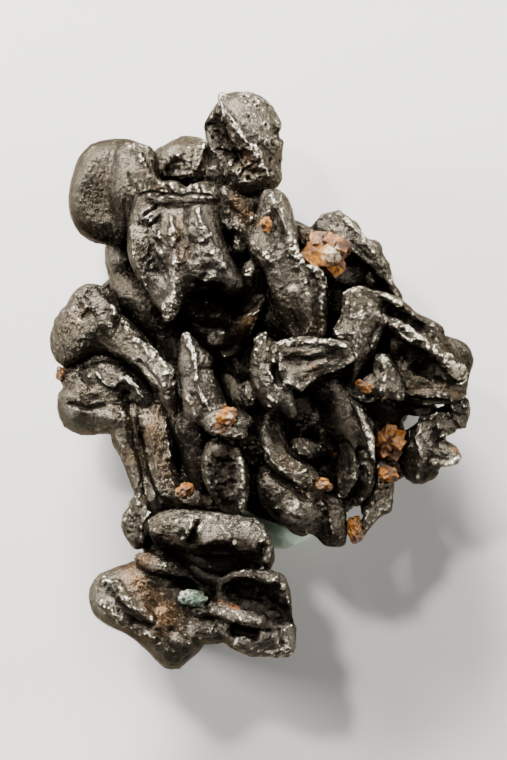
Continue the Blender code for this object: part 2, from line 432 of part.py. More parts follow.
# What shows dark in the hollows of the front, joining the crystals to the back.
FLOOR = {
    "behind the foot plate": [
        (4.6, 1.4, 12.2, 1.0, 1.5), (6.0, 0.4, 12.4, 1.2, 1.6), (7.4, -0.6, 12.2, 1.1, 1.5),
    ],
    "beside the right grain": [
        (7.6, -1.6, 12.0, 1.0, 1.5), (8.4, -3.2, 12.2, 1.1, 1.5), (8.6, -4.8, 12.0, 0.7, 1.2),
    ],
    "from the bar to the wing": [
        (-9.7, -12.9, 12.6, 0.9, 1.4), (-8.3, -13.7, 12.8, 1.1, 1.5), (-6.8, -14.4, 12.8, 1.0, 1.4),
    ],
    "above the bar": [
        (-9.0, -9.8, 12.0, 0.9, 1.4), (-6.4, -10.0, 12.2, 1.0, 1.5), (-3.8, -10.0, 12.2, 0.9, 1.4),
        (-2.4, -9.7, 12.0, 0.7, 1.2),
    ],
    "under the neck": [
        (-1.7, 15.6, 11.6, 1.2, 1.5), (-0.5, 14.6, 12.0, 1.2, 1.5), (0.7, 13.2, 12.2, 1.0, 1.4),
    ],
    "under the tooth tip": [
        (-12.2, 9.0, 8.5, 1.4, 2.2), (-10.3, 7.2, 8.8, 2.0, 2.8), (-8.4, 5.0, 9.0, 2.1, 2.8),
        (-7.0, 2.4, 9.6, 1.8, 2.6),
    ],
    "behind the tooth tip": [
        (-7.4, 9.4, 9.4, 1.6, 2.4), (-5.4, 7.4, 9.6, 2.3, 2.8), (-3.6, 5.4, 9.8, 2.2, 2.6),
        (-2.2, 3.2, 9.8, 1.6, 2.2),
    ],
    "under the blade": [
        (-4.6, 11.4, 11.0, 1.4, 2.2), (-2.6, 9.0, 10.8, 2.0, 2.4), (-0.6, 7.0, 10.4, 2.3, 2.6),
        (2.0, 4.6, 10.4, 2.2, 2.8), (4.2, 2.8, 10.6, 1.6, 2.2),
    ],
    "beside the neck": [
        (-2.0, 13.0, 11.4, 1.0, 1.4), (-0.9, 11.2, 12.0, 1.1, 1.6), (-0.2, 9.2, 12.4, 0.9, 1.4),
    ],
    "under the lower arm": [
        (-15.0, -0.6, 9.6, 1.3, 1.8), (-12.9, -1.3, 10.2, 1.7, 2.0), (-10.8, -2.8, 10.4, 1.4, 2.0),
    ],
    "between the lobes": [
        (-15.5, 1.2, 10.4, 0.9, 1.3), (-13.8, 1.6, 10.8, 1.2, 1.5), (-11.9, 1.6, 11.0, 1.3, 1.6),
        (-10.6, 1.2, 11.2, 0.9, 1.3),
    ],
    "under the thin leg": [
        (-11.0, -3.8, 10.4, 1.1, 1.6), (-10.1, -5.8, 10.8, 1.3, 1.8), (-9.4, -8.0, 11.2, 1.2, 1.8),
        (-9.1, -10.6, 11.8, 1.2, 1.8), (-9.0, -13.4, 12.2, 1.1, 1.6),
    ],
    "under the column": [
        (-7.4, 1.6, 12.0, 1.0, 1.6), (-7.0, -0.6, 12.2, 1.4, 2.0), (-6.4, -3.0, 12.2, 1.5, 2.2),
        (-5.6, -5.6, 12.0, 1.4, 2.0), (-5.0, -9.2, 12.0, 1.3, 1.8),
    ],
    "under the column top": [
        (-8.6, 3.2, 10.4, 1.4, 1.8), (-6.9, 2.2, 11.0, 1.5, 1.8), (-5.2, 1.4, 11.4, 1.5, 1.8),
        (-3.6, 0.6, 11.4, 1.3, 1.8),
    ],
    "web of the arm": [
        (-10.6, -1.6, 11.6, 1.0, 1.4), (-10.2, -3.6, 11.4, 1.1, 1.4), (-9.8, -6.0, 11.6, 1.0, 1.4),
        (-9.3, -8.6, 11.9, 0.9, 1.3),
    ],
    "dark hollow": [
        (3.0, -1.2, 11.4, 1.4, 2.0), (3.6, -3.6, 11.2, 2.0, 2.2), (4.6, -5.8, 11.0, 2.2, 2.2),
        (5.6, -8.2, 11.2, 1.8, 2.0), (5.8, -10.8, 11.4, 1.2, 1.6),
    ],
    "centre hollow": [
        (-3.4, 0.8, 11.4, 1.2, 1.8), (-1.8, -1.4, 11.4, 1.7, 2.2), (-0.8, -4.0, 11.4, 1.7, 2.2),
        (-0.4, -7.4, 11.4, 1.4, 2.0),
    ],
    "under the wedge": [
        (6.2, 2.6, 13.0, 1.4, 1.6), (8.2, 1.0, 13.2, 1.9, 2.0), (9.6, -1.5, 12.6, 1.7, 2.0),
        (10.2, -4.0, 11.8, 1.3, 1.8),
    ],
    "behind the saddle": [
        (5.8, 0.4, 12.2, 0.9, 1.5), (7.6, 2.2, 12.4, 1.4, 1.8), (9.4, 3.4, 12.4, 1.3, 1.7),
        (10.8, 3.2, 12.2, 1.0, 1.4),
    ],
    "under the fin": [
        (8.4, -5.2, 11.2, 1.1, 1.6), (8.9, -7.4, 11.4, 1.4, 1.6), (8.7, -9.2, 11.4, 1.3, 1.5),
        (8.2, -11.0, 11.4, 0.8, 1.2),
    ],
    "heel bridge": [
        (-6.2, -19.8, 13.6, 1.2, 1.6), (-4.6, -19.9, 14.0, 1.2, 1.5), (-3.0, -20.3, 13.9, 0.9, 1.2),
    ],
    "shell wall": [
        (-5.8, -14.6, 12.6, 1.1, 1.6), (-4.0, -15.4, 12.8, 1.1, 1.5), (-2.0, -15.6, 12.8, 0.9, 1.2),
    ],
    "slab hollow": [(3.4, 9.6, 10.6, 1.2, 1.8), (5.6, 8.6, 10.8, 1.5, 2.0), (8.2, 8.0, 10.8, 1.2, 1.8)],
}

# The side that the specimen lies on: a second and a third layer of stout worms and pebbles.
BACK = {
    "low fold under the tooth": [
        (-9.5, 12.5, 4.5, 1.4, 2.2), (-6.2, 13.6, 4.0, 1.8, 2.8), (-2.6, 13.2, 4.6, 1.9, 2.8),
        (0.8, 11.6, 4.6, 1.4, 2.2),
    ],
    "low fold on the left": [
        (-11.2, 11.0, 5.2, 1.3, 2.0), (-10.8, 8.4, 4.6, 1.5, 2.6), (-12.4, 5.4, 4.6, 1.9, 2.9),
        (-12.4, 2.6, 5.0, 1.5, 2.2),
    ],
    "low fold on the right": [
        (4.8, 8.6, 5.0, 1.4, 2.2), (7.8, 7.0, 4.4, 2.0, 2.9), (9.8, 4.2, 4.6, 1.9, 2.8),
        (11.0, 1.6, 5.0, 1.4, 2.2),
    ],
    "low fold under the right knob": [
        (9.6, -3.4, 5.0, 1.2, 2.0), (11.0, -5.8, 4.6, 1.5, 2.6), (10.0, -7.2, 5.0, 1.3, 2.1),
        (8.4, -8.2, 5.6, 1.2, 1.8),
    ],
    "low fold under the bands": [
        (-10.6, -1.6, 4.8, 1.4, 2.2), (-9.6, -4.8, 4.4, 1.7, 2.8), (-8.4, -8.0, 4.4, 1.8, 2.8),
        (-7.8, -11.2, 5.0, 1.6, 2.5), (-8.0, -14.4, 4.8, 1.3, 2.6), (-8.4, -17.0, 5.0, 1.3, 2.0),
    ],
    "low fold under the heel": [
        (-5.0, -18.5, 4.6, 1.5, 2.4), (-2.2, -19.2, 4.2, 1.9, 2.9), (0.4, -19.2, 5.4, 1.6, 2.4),
        (1.4, -18.6, 7.0, 1.0, 1.6),
    ],
    "low spine": [
        (-7.5, 9.5, 4.4, 1.6, 2.6), (-7.8, 5.6, 4.2, 2.2, 3.1), (-7.4, 1.8, 4.6, 1.6, 2.6),
    ],
    "low spur": [(3.0, -3.6, 4.4, 1.5, 2.4), (6.0, -3.4, 4.0, 2.0, 3.1), (8.2, -2.4, 4.4, 1.4, 2.2)],
    "chin of the top knob": [
        (-3.8, 16.8, 6.2, 1.5, 2.2), (-2.0, 19.0, 6.8, 1.8, 2.6), (-1.4, 21.0, 8.4, 1.3, 1.9),
    ],
    "chin of the lobes": [
        (-14.6, 4.4, 6.6, 1.3, 2.0), (-14.2, 1.0, 6.4, 1.4, 2.3), (-13.6, -2.2, 6.6, 1.2, 2.0),
    ],
    "chin of the arm": [
        (14.4, 1.4, 8.4, 1.1, 1.7), (13.0, 0.6, 7.2, 1.4, 2.2), (11.4, 0.0, 6.4, 1.4, 2.0),
    ],
    "top knob root": [
        (-2.0, 21.0, 11.0, 1.8, 2.2), (-2.5, 18.0, 9.0, 2.2, 3.0), (-3.5, 14.5, 8.0, 2.6, 3.4),
        (-4.5, 11.0, 8.0, 2.8, 3.6), (-5.0, 7.0, 8.5, 2.4, 3.2),
    ],
    "left knob root": [
        (-13.5, 17.0, 8.8, 1.9, 2.0), (-11.5, 14.5, 8.0, 2.2, 2.6), (-9.0, 12.0, 8.0, 2.2, 2.8),
        (-6.0, 10.0, 8.0, 2.0, 2.6),
    ],
    "core": [
        (-6.5, 6.0, 8.5, 2.0, 2.8), (-3.0, 3.5, 8.5, 2.6, 3.3), (0.0, 1.0, 8.5, 3.0, 3.8),
        (3.0, -1.5, 8.6, 3.0, 3.8), (6.5, -3.5, 9.2, 2.4, 3.2),
    ],
    "core right": [
        (0.5, 12.5, 9.0, 1.6, 2.6), (3.0, 9.5, 8.8, 2.2, 3.2), (5.5, 6.5, 8.8, 2.4, 3.2),
        (8.0, 3.0, 9.0, 2.4, 3.0), (10.5, -0.5, 9.6, 2.0, 2.6),
    ],
    "core lower": [
        (-4.5, -0.5, 8.8, 2.2, 3.0), (-3.0, -4.5, 8.8, 2.4, 3.2), (-1.0, -8.0, 9.0, 2.4, 3.0),
        (2.0, -10.0, 9.4, 2.0, 2.8), (5.4, -11.2, 10.4, 1.6, 2.4),
    ],
    "upper lobe root": [
        (-14.8, 5.8, 9.0, 1.6, 2.0), (-12.0, 3.5, 8.2, 2.0, 2.6), (-9.5, 1.5, 8.2, 2.2, 2.8),
        (-6.6, -0.8, 8.8, 2.2, 3.0),
    ],
    "lower lobe root": [
        (-14.8, -1.5, 9.0, 1.4, 1.8), (-12.2, -2.4, 8.4, 1.7, 2.2), (-9.8, -4.0, 8.4, 1.7, 2.4),
        (-7.8, -6.2, 9.0, 1.7, 2.6), (-6.8, -9.0, 9.8, 1.7, 2.4), (-6.8, -12.5, 10.6, 1.6, 2.4),
    ],
    "arm root": [
        (15.3, 0.7, 12.0, 0.9, 1.4), (12.5, 0.3, 10.6, 1.5, 2.2), (10.0, -1.0, 9.4, 1.7, 2.6),
        (7.0, -3.0, 9.0, 2.0, 2.8),
    ],
    "right knob base": [
        (13.2, -6.7, 10.4, 1.3, 1.8), (11.2, -6.0, 9.4, 1.3, 2.2), (9.0, -6.2, 8.8, 1.6, 2.6),
        (7.0, -8.0, 9.0, 1.8, 2.6), (5.3, -10.8, 9.8, 1.5, 2.2),
    ],
    "stem to the wing": [
        (-6.8, -10.0, 10.8, 1.7, 2.4), (-6.2, -13.0, 10.4, 1.9, 2.6), (-5.6, -15.5, 10.0, 2.0, 2.8),
        (-6.5, -18.0, 9.8, 2.4, 3.0), (-9.0, -19.2, 10.4, 2.0, 2.6),
    ],
    "heel root": [
        (-5.4, -17.0, 9.6, 1.9, 2.6), (-2.6, -18.6, 10.0, 1.9, 2.6), (0.0, -19.3, 11.0, 1.7, 2.4),
        (1.7, -19.9, 12.0, 1.1, 1.8),
    ],
    "upper right root": [
        (4.3, 11.8, 9.4, 1.3, 2.0), (6.5, 9.4, 9.0, 1.6, 2.4), (8.2, 7.0, 9.4, 1.6, 2.4),
        (10.2, 4.6, 10.4, 1.3, 2.0),
    ],
    "rest under the left knob": {
        "middle": (-10.8, 13.4, 3.9), "thick": 4.1, "edge": 2.4, "turn": 60,
        "outline": [
            (-7.6, 12.4), (-8.2, 14.6), (-9.8, 16.4), (-12.0, 16.8), (-13.6, 15.4), (-13.8, 13.2),
            (-12.9, 11.2), (-11.0, 9.9), (-8.8, 10.4),
        ],
    },
    "nub beside the left knob rest": [
        (-8.2, 10.6, 4.2, 1.2, 1.8), (-6.2, 9.8, 4.8, 1.7, 2.6), (-4.2, 10.6, 5.4, 1.2, 1.8),
    ],
    "rest under the arm": {
        "middle": (9.6, -1.2, 4.0), "thick": 4.2, "edge": 2.5, "turn": 115,
        "outline": [
            (12.0, -1.6), (12.4, 0.4), (11.2, 2.0), (9.2, 2.2), (7.6, 1.0), (7.0, -1.2), (7.6, -3.6),
            (9.4, -4.8), (11.2, -3.6),
        ],
    },
    "toe of the arm rest": [
        (8.6, -3.4, 4.6, 1.2, 2.0), (7.2, -5.4, 4.0, 1.6, 2.6), (5.0, -6.4, 4.6, 1.4, 2.2),
    ],
    "rest under the wing": {
        "middle": (-6.6, -18.8, 4.2), "thick": 4.4, "edge": 2.4, "turn": -20,
        "outline": [
            (-3.6, -18.6), (-4.2, -16.8), (-6.2, -15.9), (-8.6, -16.4), (-10.0, -18.0), (-9.6, -20.0),
            (-7.6, -21.2), (-5.2, -21.0),
        ],
    },
    "heel rest": [
        (-3.6, -19.6, 5.8, 1.2, 1.8), (-1.8, -19.0, 6.6, 1.5, 2.2), (0.2, -18.2, 8.0, 1.1, 1.6),
    ],
    "rest under the blade": {
        "middle": (2.6, 9.6, 4.0), "thick": 4.2, "edge": 2.5, "turn": -65,
        "outline": [
            (5.2, 8.6), (4.8, 10.8), (3.4, 12.6), (1.4, 12.9), (0.0, 11.6), (-0.3, 9.6), (0.8, 7.4),
            (2.4, 6.4), (4.4, 6.6),
        ],
    },
    "fold of the blade rest": [
        (4.0, 6.9, 5.0, 1.1, 1.8), (5.8, 5.4, 5.2, 1.5, 2.4), (7.8, 5.0, 6.2, 1.1, 1.8),
    ],
    "rest under the lobes": {
        "middle": (-10.2, -0.6, 4.6), "thick": 3.9, "edge": 2.4, "turn": 35,
        "outline": [
            (-7.4, -1.2), (-7.8, 0.8), (-9.4, 2.2), (-11.6, 2.6), (-13.2, 1.4), (-13.0, -0.8),
            (-11.6, -2.6), (-9.6, -3.2),
        ],
    },
    "rest under the core": {
        "middle": (-1.2, 0.6, 4.1), "thick": 4.0, "edge": 2.6, "turn": 80,
        "outline": [
            (1.4, -0.4), (1.8, 2.0), (0.4, 4.4), (-1.8, 5.0), (-3.6, 3.4), (-3.9, 0.6), (-3.2, -2.2),
            (-1.2, -3.6), (0.6, -2.8),
        ],
    },
    "shoulder of the core rest": [
        (-0.6, -2.8, 5.0, 1.4, 2.2), (0.8, -4.8, 5.4, 1.9, 2.8), (0.4, -7.2, 6.4, 1.3, 2.0),
    ],
    "back strut": [(2.2, 1.8, 5.2, 1.3, 2.0), (4.4, 2.6, 4.4, 1.9, 3.0), (7.0, 1.6, 5.0, 1.4, 2.2)],
    "back saddle": [
        (-8.6, 8.8, 6.0, 1.2, 1.8), (-7.4, 6.2, 5.0, 2.0, 2.8), (-5.2, 4.0, 5.2, 1.6, 2.4),
        (-4.6, 0.8, 5.8, 1.2, 2.0),
    ],
    "back rib": [
        (-6.4, -4.6, 6.4, 1.2, 2.0), (-5.0, -7.8, 5.8, 1.9, 2.6), (-5.8, -11.2, 6.2, 1.5, 2.4),
        (-5.0, -14.4, 6.4, 1.9, 2.8), (-6.0, -16.6, 6.4, 1.3, 2.0),
    ],
}

# Rust-stained calcite grains and the crust: x, y, height, then half sizes along x, y and z,
# in drawn units, with the turn about Z in degrees and the number that seeds the facets.
GRAINS = {
    "calcite_upper_right": (4.9, 9.95, 14.2, 1.75, 1.75, 1.5, 20, 3),
    "calcite_right": (9.95, -5.1, 13.5, 1.35, 1.25, 1.2, 35, 8),
    "calcite_fin": (9.85, -7.5, 14.4, 0.6, 0.75, 0.9, 60, 5),
    "calcite_lower_right": (7.15, -11.9, 13.9, 0.62, 1.1, 0.9, 8, 11),
    "calcite_worm": (4.65, -8.35, 16.7, 0.7, 0.5, 0.7, -12, 13),
    "calcite_seat": (-3.0, -2.9, 19.1, 0.85, 0.6, 0.6, 25, 17),
    "calcite_band": (-6.25, -8.7, 14.9, 0.75, 0.55, 0.8, 30, 19),
    "calcite_wedge": (7.8, -0.5, 18.3, 0.75, 0.4, 0.65, -20, 23),
    "calcite_blade": (0.1, 12.3, 18.6, 0.42, 0.65, 0.6, 10, 29),
    "calcite_cleft": (-16.3, 0.5, 12.6, 0.45, 0.6, 0.75, 0, 31),
}
CRUST = ("green_crust", (-5.8, -17.35, 15.5, 1.15, 0.72, 0.9, -8, 37))
PUTTY = ("green_putty", (1.25, -10.5, 3.5, 3.45, 3.2, 4.3, 0, 41))

FINISHES = {
    "acanthite": ((0.105, 0.100, 0.092, 1.0), 0.38, 0.9),
    "calcite": ((0.62, 0.27, 0.075, 1.0), 0.55, 0.0),
    "crust": ((0.55, 0.68, 0.60, 1.0), 0.7, 0.0),
    "putty": ((0.33, 0.56, 0.44, 1.0), 0.62, 0.0),
}


def clear_scene():
    for obj in list(bpy.data.objects):
        bpy.data.objects.remove(obj)


def finish_of(name):
    colour, roughness, metallic = FINISHES[name]
    material = bpy.data.materials.new(name)
    material.use_nodes = True
    shader = material.node_tree.nodes["Principled BSDF"]
    shader.inputs["Base Color"].default_value = colour
    shader.inputs["Roughness"].default_value = roughness
    shader.inputs["Metallic"].default_value = metallic
    return material


def smooth_run(near, t):
    """Between the middle two of four neighbours, on a smooth curve through them all."""
    return [
        0.5 * (2 * b + (c - a) * t + (2 * a - 5 * b + 4 * c - d) * t * t + (3 * b - a - 3 * c + d) * t ** 3)
        for a, b, c, d in zip(*near)
    ]


def along_stations(stations, share):
    """The station at this share of the way from tip to tip."""
    last = len(stations) - 1
    place = share * last
    first = min(int(place), last - 1)
    near = [stations[min(max(first + step, 0), last)] for step in (-1, 0, 1, 2)]
    return smooth_run(near, place - first)


def round_outline(outline, share):
    """The point at this share of the way round a closed outline."""
    place = share * len(outline)
    first = int(place)
    near = [outline[(first + step) % len(outline)] for step in (-1, 0, 1, 2)]
    return smooth_run(near, place - first)


def bulged(value, roundness):
    """Pushes a cosine or sine outwards: 2 leaves it, more squares what it draws."""
    return math.copysign(abs(value) ** (2 / roundness), value)


def framed(x, y, z):
    """A drawn place, in metres from the frame's origin."""
    return Vector((x - MIDDLE[0], y - MIDDLE[1], z)) * UNIT


def swell_at(place):
    return noise.noise(place / SWELL_SIZE) * ROUGHEN


def along_grain(place, turn):
    """The place turned to the grain and shortened along it, so that the swells run that way."""
    turned = Matrix.Rotation(-math.radians(turn), 3, "Z") @ place
    turned.x *= SWELL_STRETCH
    return turned


def on_worm(direction, stations, grow):
    """Where this point of a ball comes when the ball is drawn out along the stations."""
    along = max(-1.0, min(1.0, direction.z))
    share = (along + 1) / 2
    angle = math.atan2(direction.y, direction.x)
    x, y, z, wide, thick = along_stations(stations, share)
    place = framed(x, y, z)
    ahead = Vector(along_stations(stations, min(1.0, share + TANGENT_STEP))[:3])
    behind = Vector(along_stations(stations, max(0.0, share - TANGENT_STEP))[:3])
    forward = (ahead - behind).normalized()
    sideways = forward.cross(Vector((0, 0, 1))).normalized()
    outwards = sideways.cross(forward)
    rounding = (1 - abs(along) ** END_ROUNDNESS) ** (1 / END_ROUNDNESS)
    more = grow + swell_at(place) * rounding
    return (
        place
        + sideways * bulged(math.cos(angle), CORNER) * (rounding * wide * UNIT + more)
        + outwards * bulged(math.sin(angle), CORNER) * (rounding * thick * UNIT + more)
        + forward * along ** TIP_HOLD * grow
    )


def on_pebble(direction, pebble, grow):
    """Where this point of a ball comes when the ball is pressed out to the outline."""
    level = bulged(math.hypot(direction.x, direction.y), pebble["edge"])
    above = bulged(direction.z, pebble["edge"])
    share = math.atan2(direction.y, direction.x) / math.tau % 1
    middle_x, middle_y, middle_z = pebble["middle"]
    rim_x, rim_y = round_outline(pebble["outline"], share)
    rim = Vector((rim_x - middle_x, rim_y - middle_y, 0))
    place = framed(middle_x, middle_y, middle_z) + rim * UNIT * level
    more = grow + swell_at(along_grain(place, pebble["turn"]))
    return place + rim.normalized() * level * more + Vector((0, 0, above * (pebble["thick"] * UNIT + more)))


def all_lumps(grow):
    """Every lump as a closed skin of its own, all in one mesh."""
    worm_ball = bmesh.new()
    bmesh.ops.create_uvsphere(worm_ball, u_segments=WORM_SIDES, v_segments=WORM_RINGS, radius=1.0)
    pebble_ball = bmesh.new()
    bmesh.ops.create_uvsphere(pebble_ball, u_segments=PEBBLE_SIDES, v_segments=PEBBLE_RINGS, radius=1.0)
    worm_directions = [vert.co.copy() for vert in worm_ball.verts]
    pebble_directions = [vert.co.copy() for vert in pebble_ball.verts]
    skin = bpy.data.meshes.new("skin")
    lumps = bmesh.new()
    for group in (UPPER, RIGHT, CENTRE, LEFT, LOWER, FLOOR, BACK):
        for lump in group.values():
            if "outline" in lump:
                ball, directions, on_lump = pebble_ball, pebble_directions, on_pebble
            else:
                ball, directions, on_lump = worm_ball, worm_directions, on_worm
            for vert, direction in zip(ball.verts, directions):
                vert.co = on_lump(direction, lump, grow)
            ball.to_mesh(skin)
            lumps.from_mesh(skin)
    worm_ball.free()
    pebble_ball.free()
    bpy.data.meshes.remove(skin)
    return lumps


def object_from(bm, name, collection):
    mesh = bpy.data.meshes.new(name)
    bm.to_mesh(mesh)
    bm.free()
    obj = bpy.data.objects.new(name, mesh)
    collection.objects.link(obj)
    return obj


def bake_modifiers(obj):
    """Makes what the modifiers show the object's own mesh."""
    graph = bpy.context.evaluated_depsgraph_get()
    made = bpy.data.meshes.new_from_object(obj.evaluated_get(graph))
    obj.modifiers.clear()
    obj.data = made


def keep_outer_skin(obj):
    """Drops the skins of sealed hollows between the lumps, leaving the one outer surface."""
    bm = bmesh.new()
    bm.from_mesh(obj.data)
    waiting = set(bm.verts)
    skins = []
    while waiting:
        front = [waiting.pop()]
        skin = []
        while front:
            vert = front.pop()
            skin.append(vert)
            for edge in vert.link_edges:
                other = edge.other_vert(vert)
                if other in waiting:
                    waiting.remove(other)
                    front.append(other)
        skins.append(skin)
    skins.sort(key=len)
    bmesh.ops.delete(bm, geom=[vert for skin in skins[:-1] for vert in skin], context="VERTS")
    bm.to_mesh(obj.data)
    bm.free()


def fused_lumps(name, collection, voxel, triangles, grow=0.0):
    """Every lump joined in one skin, thinned to this many triangles."""
    mass = object_from(all_lumps(grow), name, collection)
    fuse = mass.modifiers.new("fuse", "REMESH")
    fuse.mode = "VOXEL"
    fuse.voxel_size = voxel
    bake_modifiers(mass)
    keep_outer_skin(mass)
    mass.data.calc_loop_triangles()
    thin = mass.modifiers.new("thin", "DECIMATE")
    thin.ratio = triangles / len(mass.data.loop_triangles)
    bake_modifiers(mass)
    return mass


def shade_round(obj):
    """Smooth shading, with the edges of the flat faces kept sharp."""
    obj.data.shade_smooth()
    obj.data.set_sharp_from_angle(angle=math.radians(SHARP_ANGLE))


def flatten_underside(obj):
    """Cuts the object off level with the surface that it lies on, and closes the cuts."""
    bm = bmesh.new()
    bm.from_mesh(obj.data)
    cut = bmesh.ops.bisect_plane(
        bm, geom=bm.verts[:] + bm.edges[:] + bm.faces[:], dist=LEVEL_TOLERANCE,
        plane_co=(0, 0, 0), plane_no=(0, 0, -1), clear_outer=True,
    )
    edges = [item for item in cut["geom_cut"] if isinstance(item, bmesh.types.BMEdge)]
    bmesh.ops.holes_fill(bm, edges=edges)
    bmesh.ops.triangulate(bm, faces=bm.faces[:])
    bmesh.ops.recalc_face_normals(bm, faces=bm.faces[:])
    bm.to_mesh(obj.data)
    bm.free()


def make_mass(collection):
    mass = fused_lumps("acanthite", collection, VOXEL, MASS_TRIANGLES)
    flatten_underside(mass)
    shade_round(mass)
    mass.data.materials.append(finish_of("acanthite"))
    return mass


def chip_direction(seed, chip):
    """A direction of its own for each chip of each grain."""
    first, second, third = (seed * per_seed + chip * per_chip for per_seed, per_chip in CHIP_TURNS)
    return Vector((math.sin(first), math.cos(second), math.sin(third))).normalized()


def add_faceted_grain(name, size_and_place, collection, rounds=BALL_ROUNDS, chips=GRAIN_CHIPS):
    """A ball whose sides are struck off by planes, like a broken crystal."""
    x, y, z, half_x, half_y, half_z, turn, seed = size_and_place
    bm = bmesh.new()
    bmesh.ops.create_icosphere(bm, subdivisions=rounds, radius=1.0)
    for chip in range(chips):
        facing = chip_direction(seed, chip)
        for vert in bm.verts:
            vert.co -= facing * max(0.0, vert.co.dot(facing) - CHIP_DEPTH)
    place = (
        Matrix.Translation(framed(x, y, z))
        @ Matrix.Rotation(math.radians(turn), 4, "Z")
        @ Matrix.Diagonal((half_x * UNIT, half_y * UNIT, half_z * UNIT, 1))
    )
    bmesh.ops.transform(bm, matrix=place, verts=bm.verts)
    return object_from(bm, name, collection)


def trim_against(obj, cutter):
    """Takes away what lies in the mass, so that the piece beds on it."""
    trim = obj.modifiers.new("trim", "BOOLEAN")
    trim.operation = "DIFFERENCE"
    trim.object = cutter
    bake_modifiers(obj)
    keep_outer_skin(obj)


def main():
    clear_scene()
    specimen = bpy.data.collections.new("acanthite specimen")
    helpers = bpy.data.collections.new("cutters")
    bpy.context.scene.collection.children.link(specimen)
    bpy.context.scene.collection.children.link(helpers)

    make_mass(specimen)
    bed = fused_lumps("bed", helpers, BED_VOXEL, BED_TRIANGLES, grow=FIT_GAP)
    bed.hide_render = True
    bed.display_type = "WIRE"

    calcite = finish_of("calcite")
    for name, size_and_place in GRAINS.items():
        grain = add_faceted_grain(name, size_and_place, specimen)
        trim_against(grain, bed)
        grain.data.materials.append(calcite)

    name, size_and_place = CRUST
    crust = add_faceted_grain(name, size_and_place, specimen, chips=CRUST_CHIPS)
    trim_against(crust, bed)
    crust.data.materials.append(finish_of("crust"))

    name, size_and_place = PUTTY
    putty = add_faceted_grain(name, size_and_place, specimen, rounds=PUTTY_ROUNDS, chips=0)
    trim_against(putty, bed)
    flatten_underside(putty)
    shade_round(putty)
    putty.data.materials.append(finish_of("putty"))


main()
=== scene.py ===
import bmesh
import bpy
import numpy as np
from mathutils import Matrix, Vector


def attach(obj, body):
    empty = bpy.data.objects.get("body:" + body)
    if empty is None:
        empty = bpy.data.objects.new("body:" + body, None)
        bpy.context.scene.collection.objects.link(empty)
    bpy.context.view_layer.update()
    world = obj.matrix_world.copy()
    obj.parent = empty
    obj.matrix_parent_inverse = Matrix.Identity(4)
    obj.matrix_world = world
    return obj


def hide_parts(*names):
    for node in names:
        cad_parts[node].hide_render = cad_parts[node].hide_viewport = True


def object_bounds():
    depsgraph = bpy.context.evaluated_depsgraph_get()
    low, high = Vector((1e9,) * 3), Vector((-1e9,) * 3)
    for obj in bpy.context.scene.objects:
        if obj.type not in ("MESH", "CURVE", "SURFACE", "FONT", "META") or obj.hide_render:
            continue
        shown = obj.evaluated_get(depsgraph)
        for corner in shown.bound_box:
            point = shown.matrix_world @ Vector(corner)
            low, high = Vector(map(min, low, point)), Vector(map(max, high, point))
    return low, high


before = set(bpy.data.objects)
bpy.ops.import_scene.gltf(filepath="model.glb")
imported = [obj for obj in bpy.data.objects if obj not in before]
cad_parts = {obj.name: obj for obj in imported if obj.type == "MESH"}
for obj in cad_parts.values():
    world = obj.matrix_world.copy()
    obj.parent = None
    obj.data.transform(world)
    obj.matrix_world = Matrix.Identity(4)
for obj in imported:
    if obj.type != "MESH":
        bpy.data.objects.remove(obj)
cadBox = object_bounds()

mm = 0.001
drawnMiddle = np.array([-0.24, 0.18, 0.0])  # drawn x and y of the frame's origin

lumpSettings = {
    "wormAround": 40,
    "wormAlong": 56,
    "pebbleAround": 96,
    "pebbleRings": 40,
    "endRoundness": 2.6,
    "corner": 2.5,  # 2 gives a worm an oval section, more a squarer one
    "chips": 8,  # flat faces struck on each lump
    "chipDepth": 0.90,
    "chipSpread": 0.07,
    "wormChips": (1.0, 1.0, 1.0),  # the sides that the chips favour
    "pebbleChips": (0.3, 0.3, 1.0),
    "facet": 1.0,  # length of the flats left by thinning
    "faceShare": 0.45,  # area of a thinned face, in squares of that length
    "soften": 3,
    "fuseVoxel": 0.16,
    "voxel": 0.12,
    "draftVoxel": 1.8,  # how much coarser a draft is
}


# noise on arrays of points
def hashed(cell, seed):
    mixed = cell[..., 0] * 374761393 + cell[..., 1] * 668265263 + cell[..., 2] * 1440662683 + seed * 974634777
    mixed = (mixed ^ (mixed >> 13)) * 1274126177 & 0xFFFFFFFF
    mixed = (mixed ^ (mixed >> 15)) * 2246822519 & 0xFFFFFFFF
    return ((mixed ^ (mixed >> 16)) & 0xFFFFFF) / 0xFFFFFF


def softNoise(points, seed):
    low = np.floor(points).astype(np.int64)
    t = points - low
    t = t * t * t * (t * (t * 6 - 15) + 10)
    total = 0
    for corner in range(8):  # the corners of each point's cell
        step = np.array([corner & 1, corner >> 1 & 1, corner >> 2 & 1])
        share = np.prod(np.where(step, t, 1 - t), axis=1)
        total = total + share * hashed(low + step, seed)
    return total * 2 - 1


def layeredNoise(points, octaves, seed, roughness=0.5):
    total, strength, reach = 0, 1.0, 0
    turn = np.array([[0.36, 0.48, -0.8], [-0.8, 0.6, 0.0], [0.48, 0.64, 0.6]])
    for octave in range(octaves):
        total = total + strength * softNoise(points, seed + octave)
        reach += strength
        strength *= roughness
        points = points @ turn * 2.03 + 7.1
    return total / reach


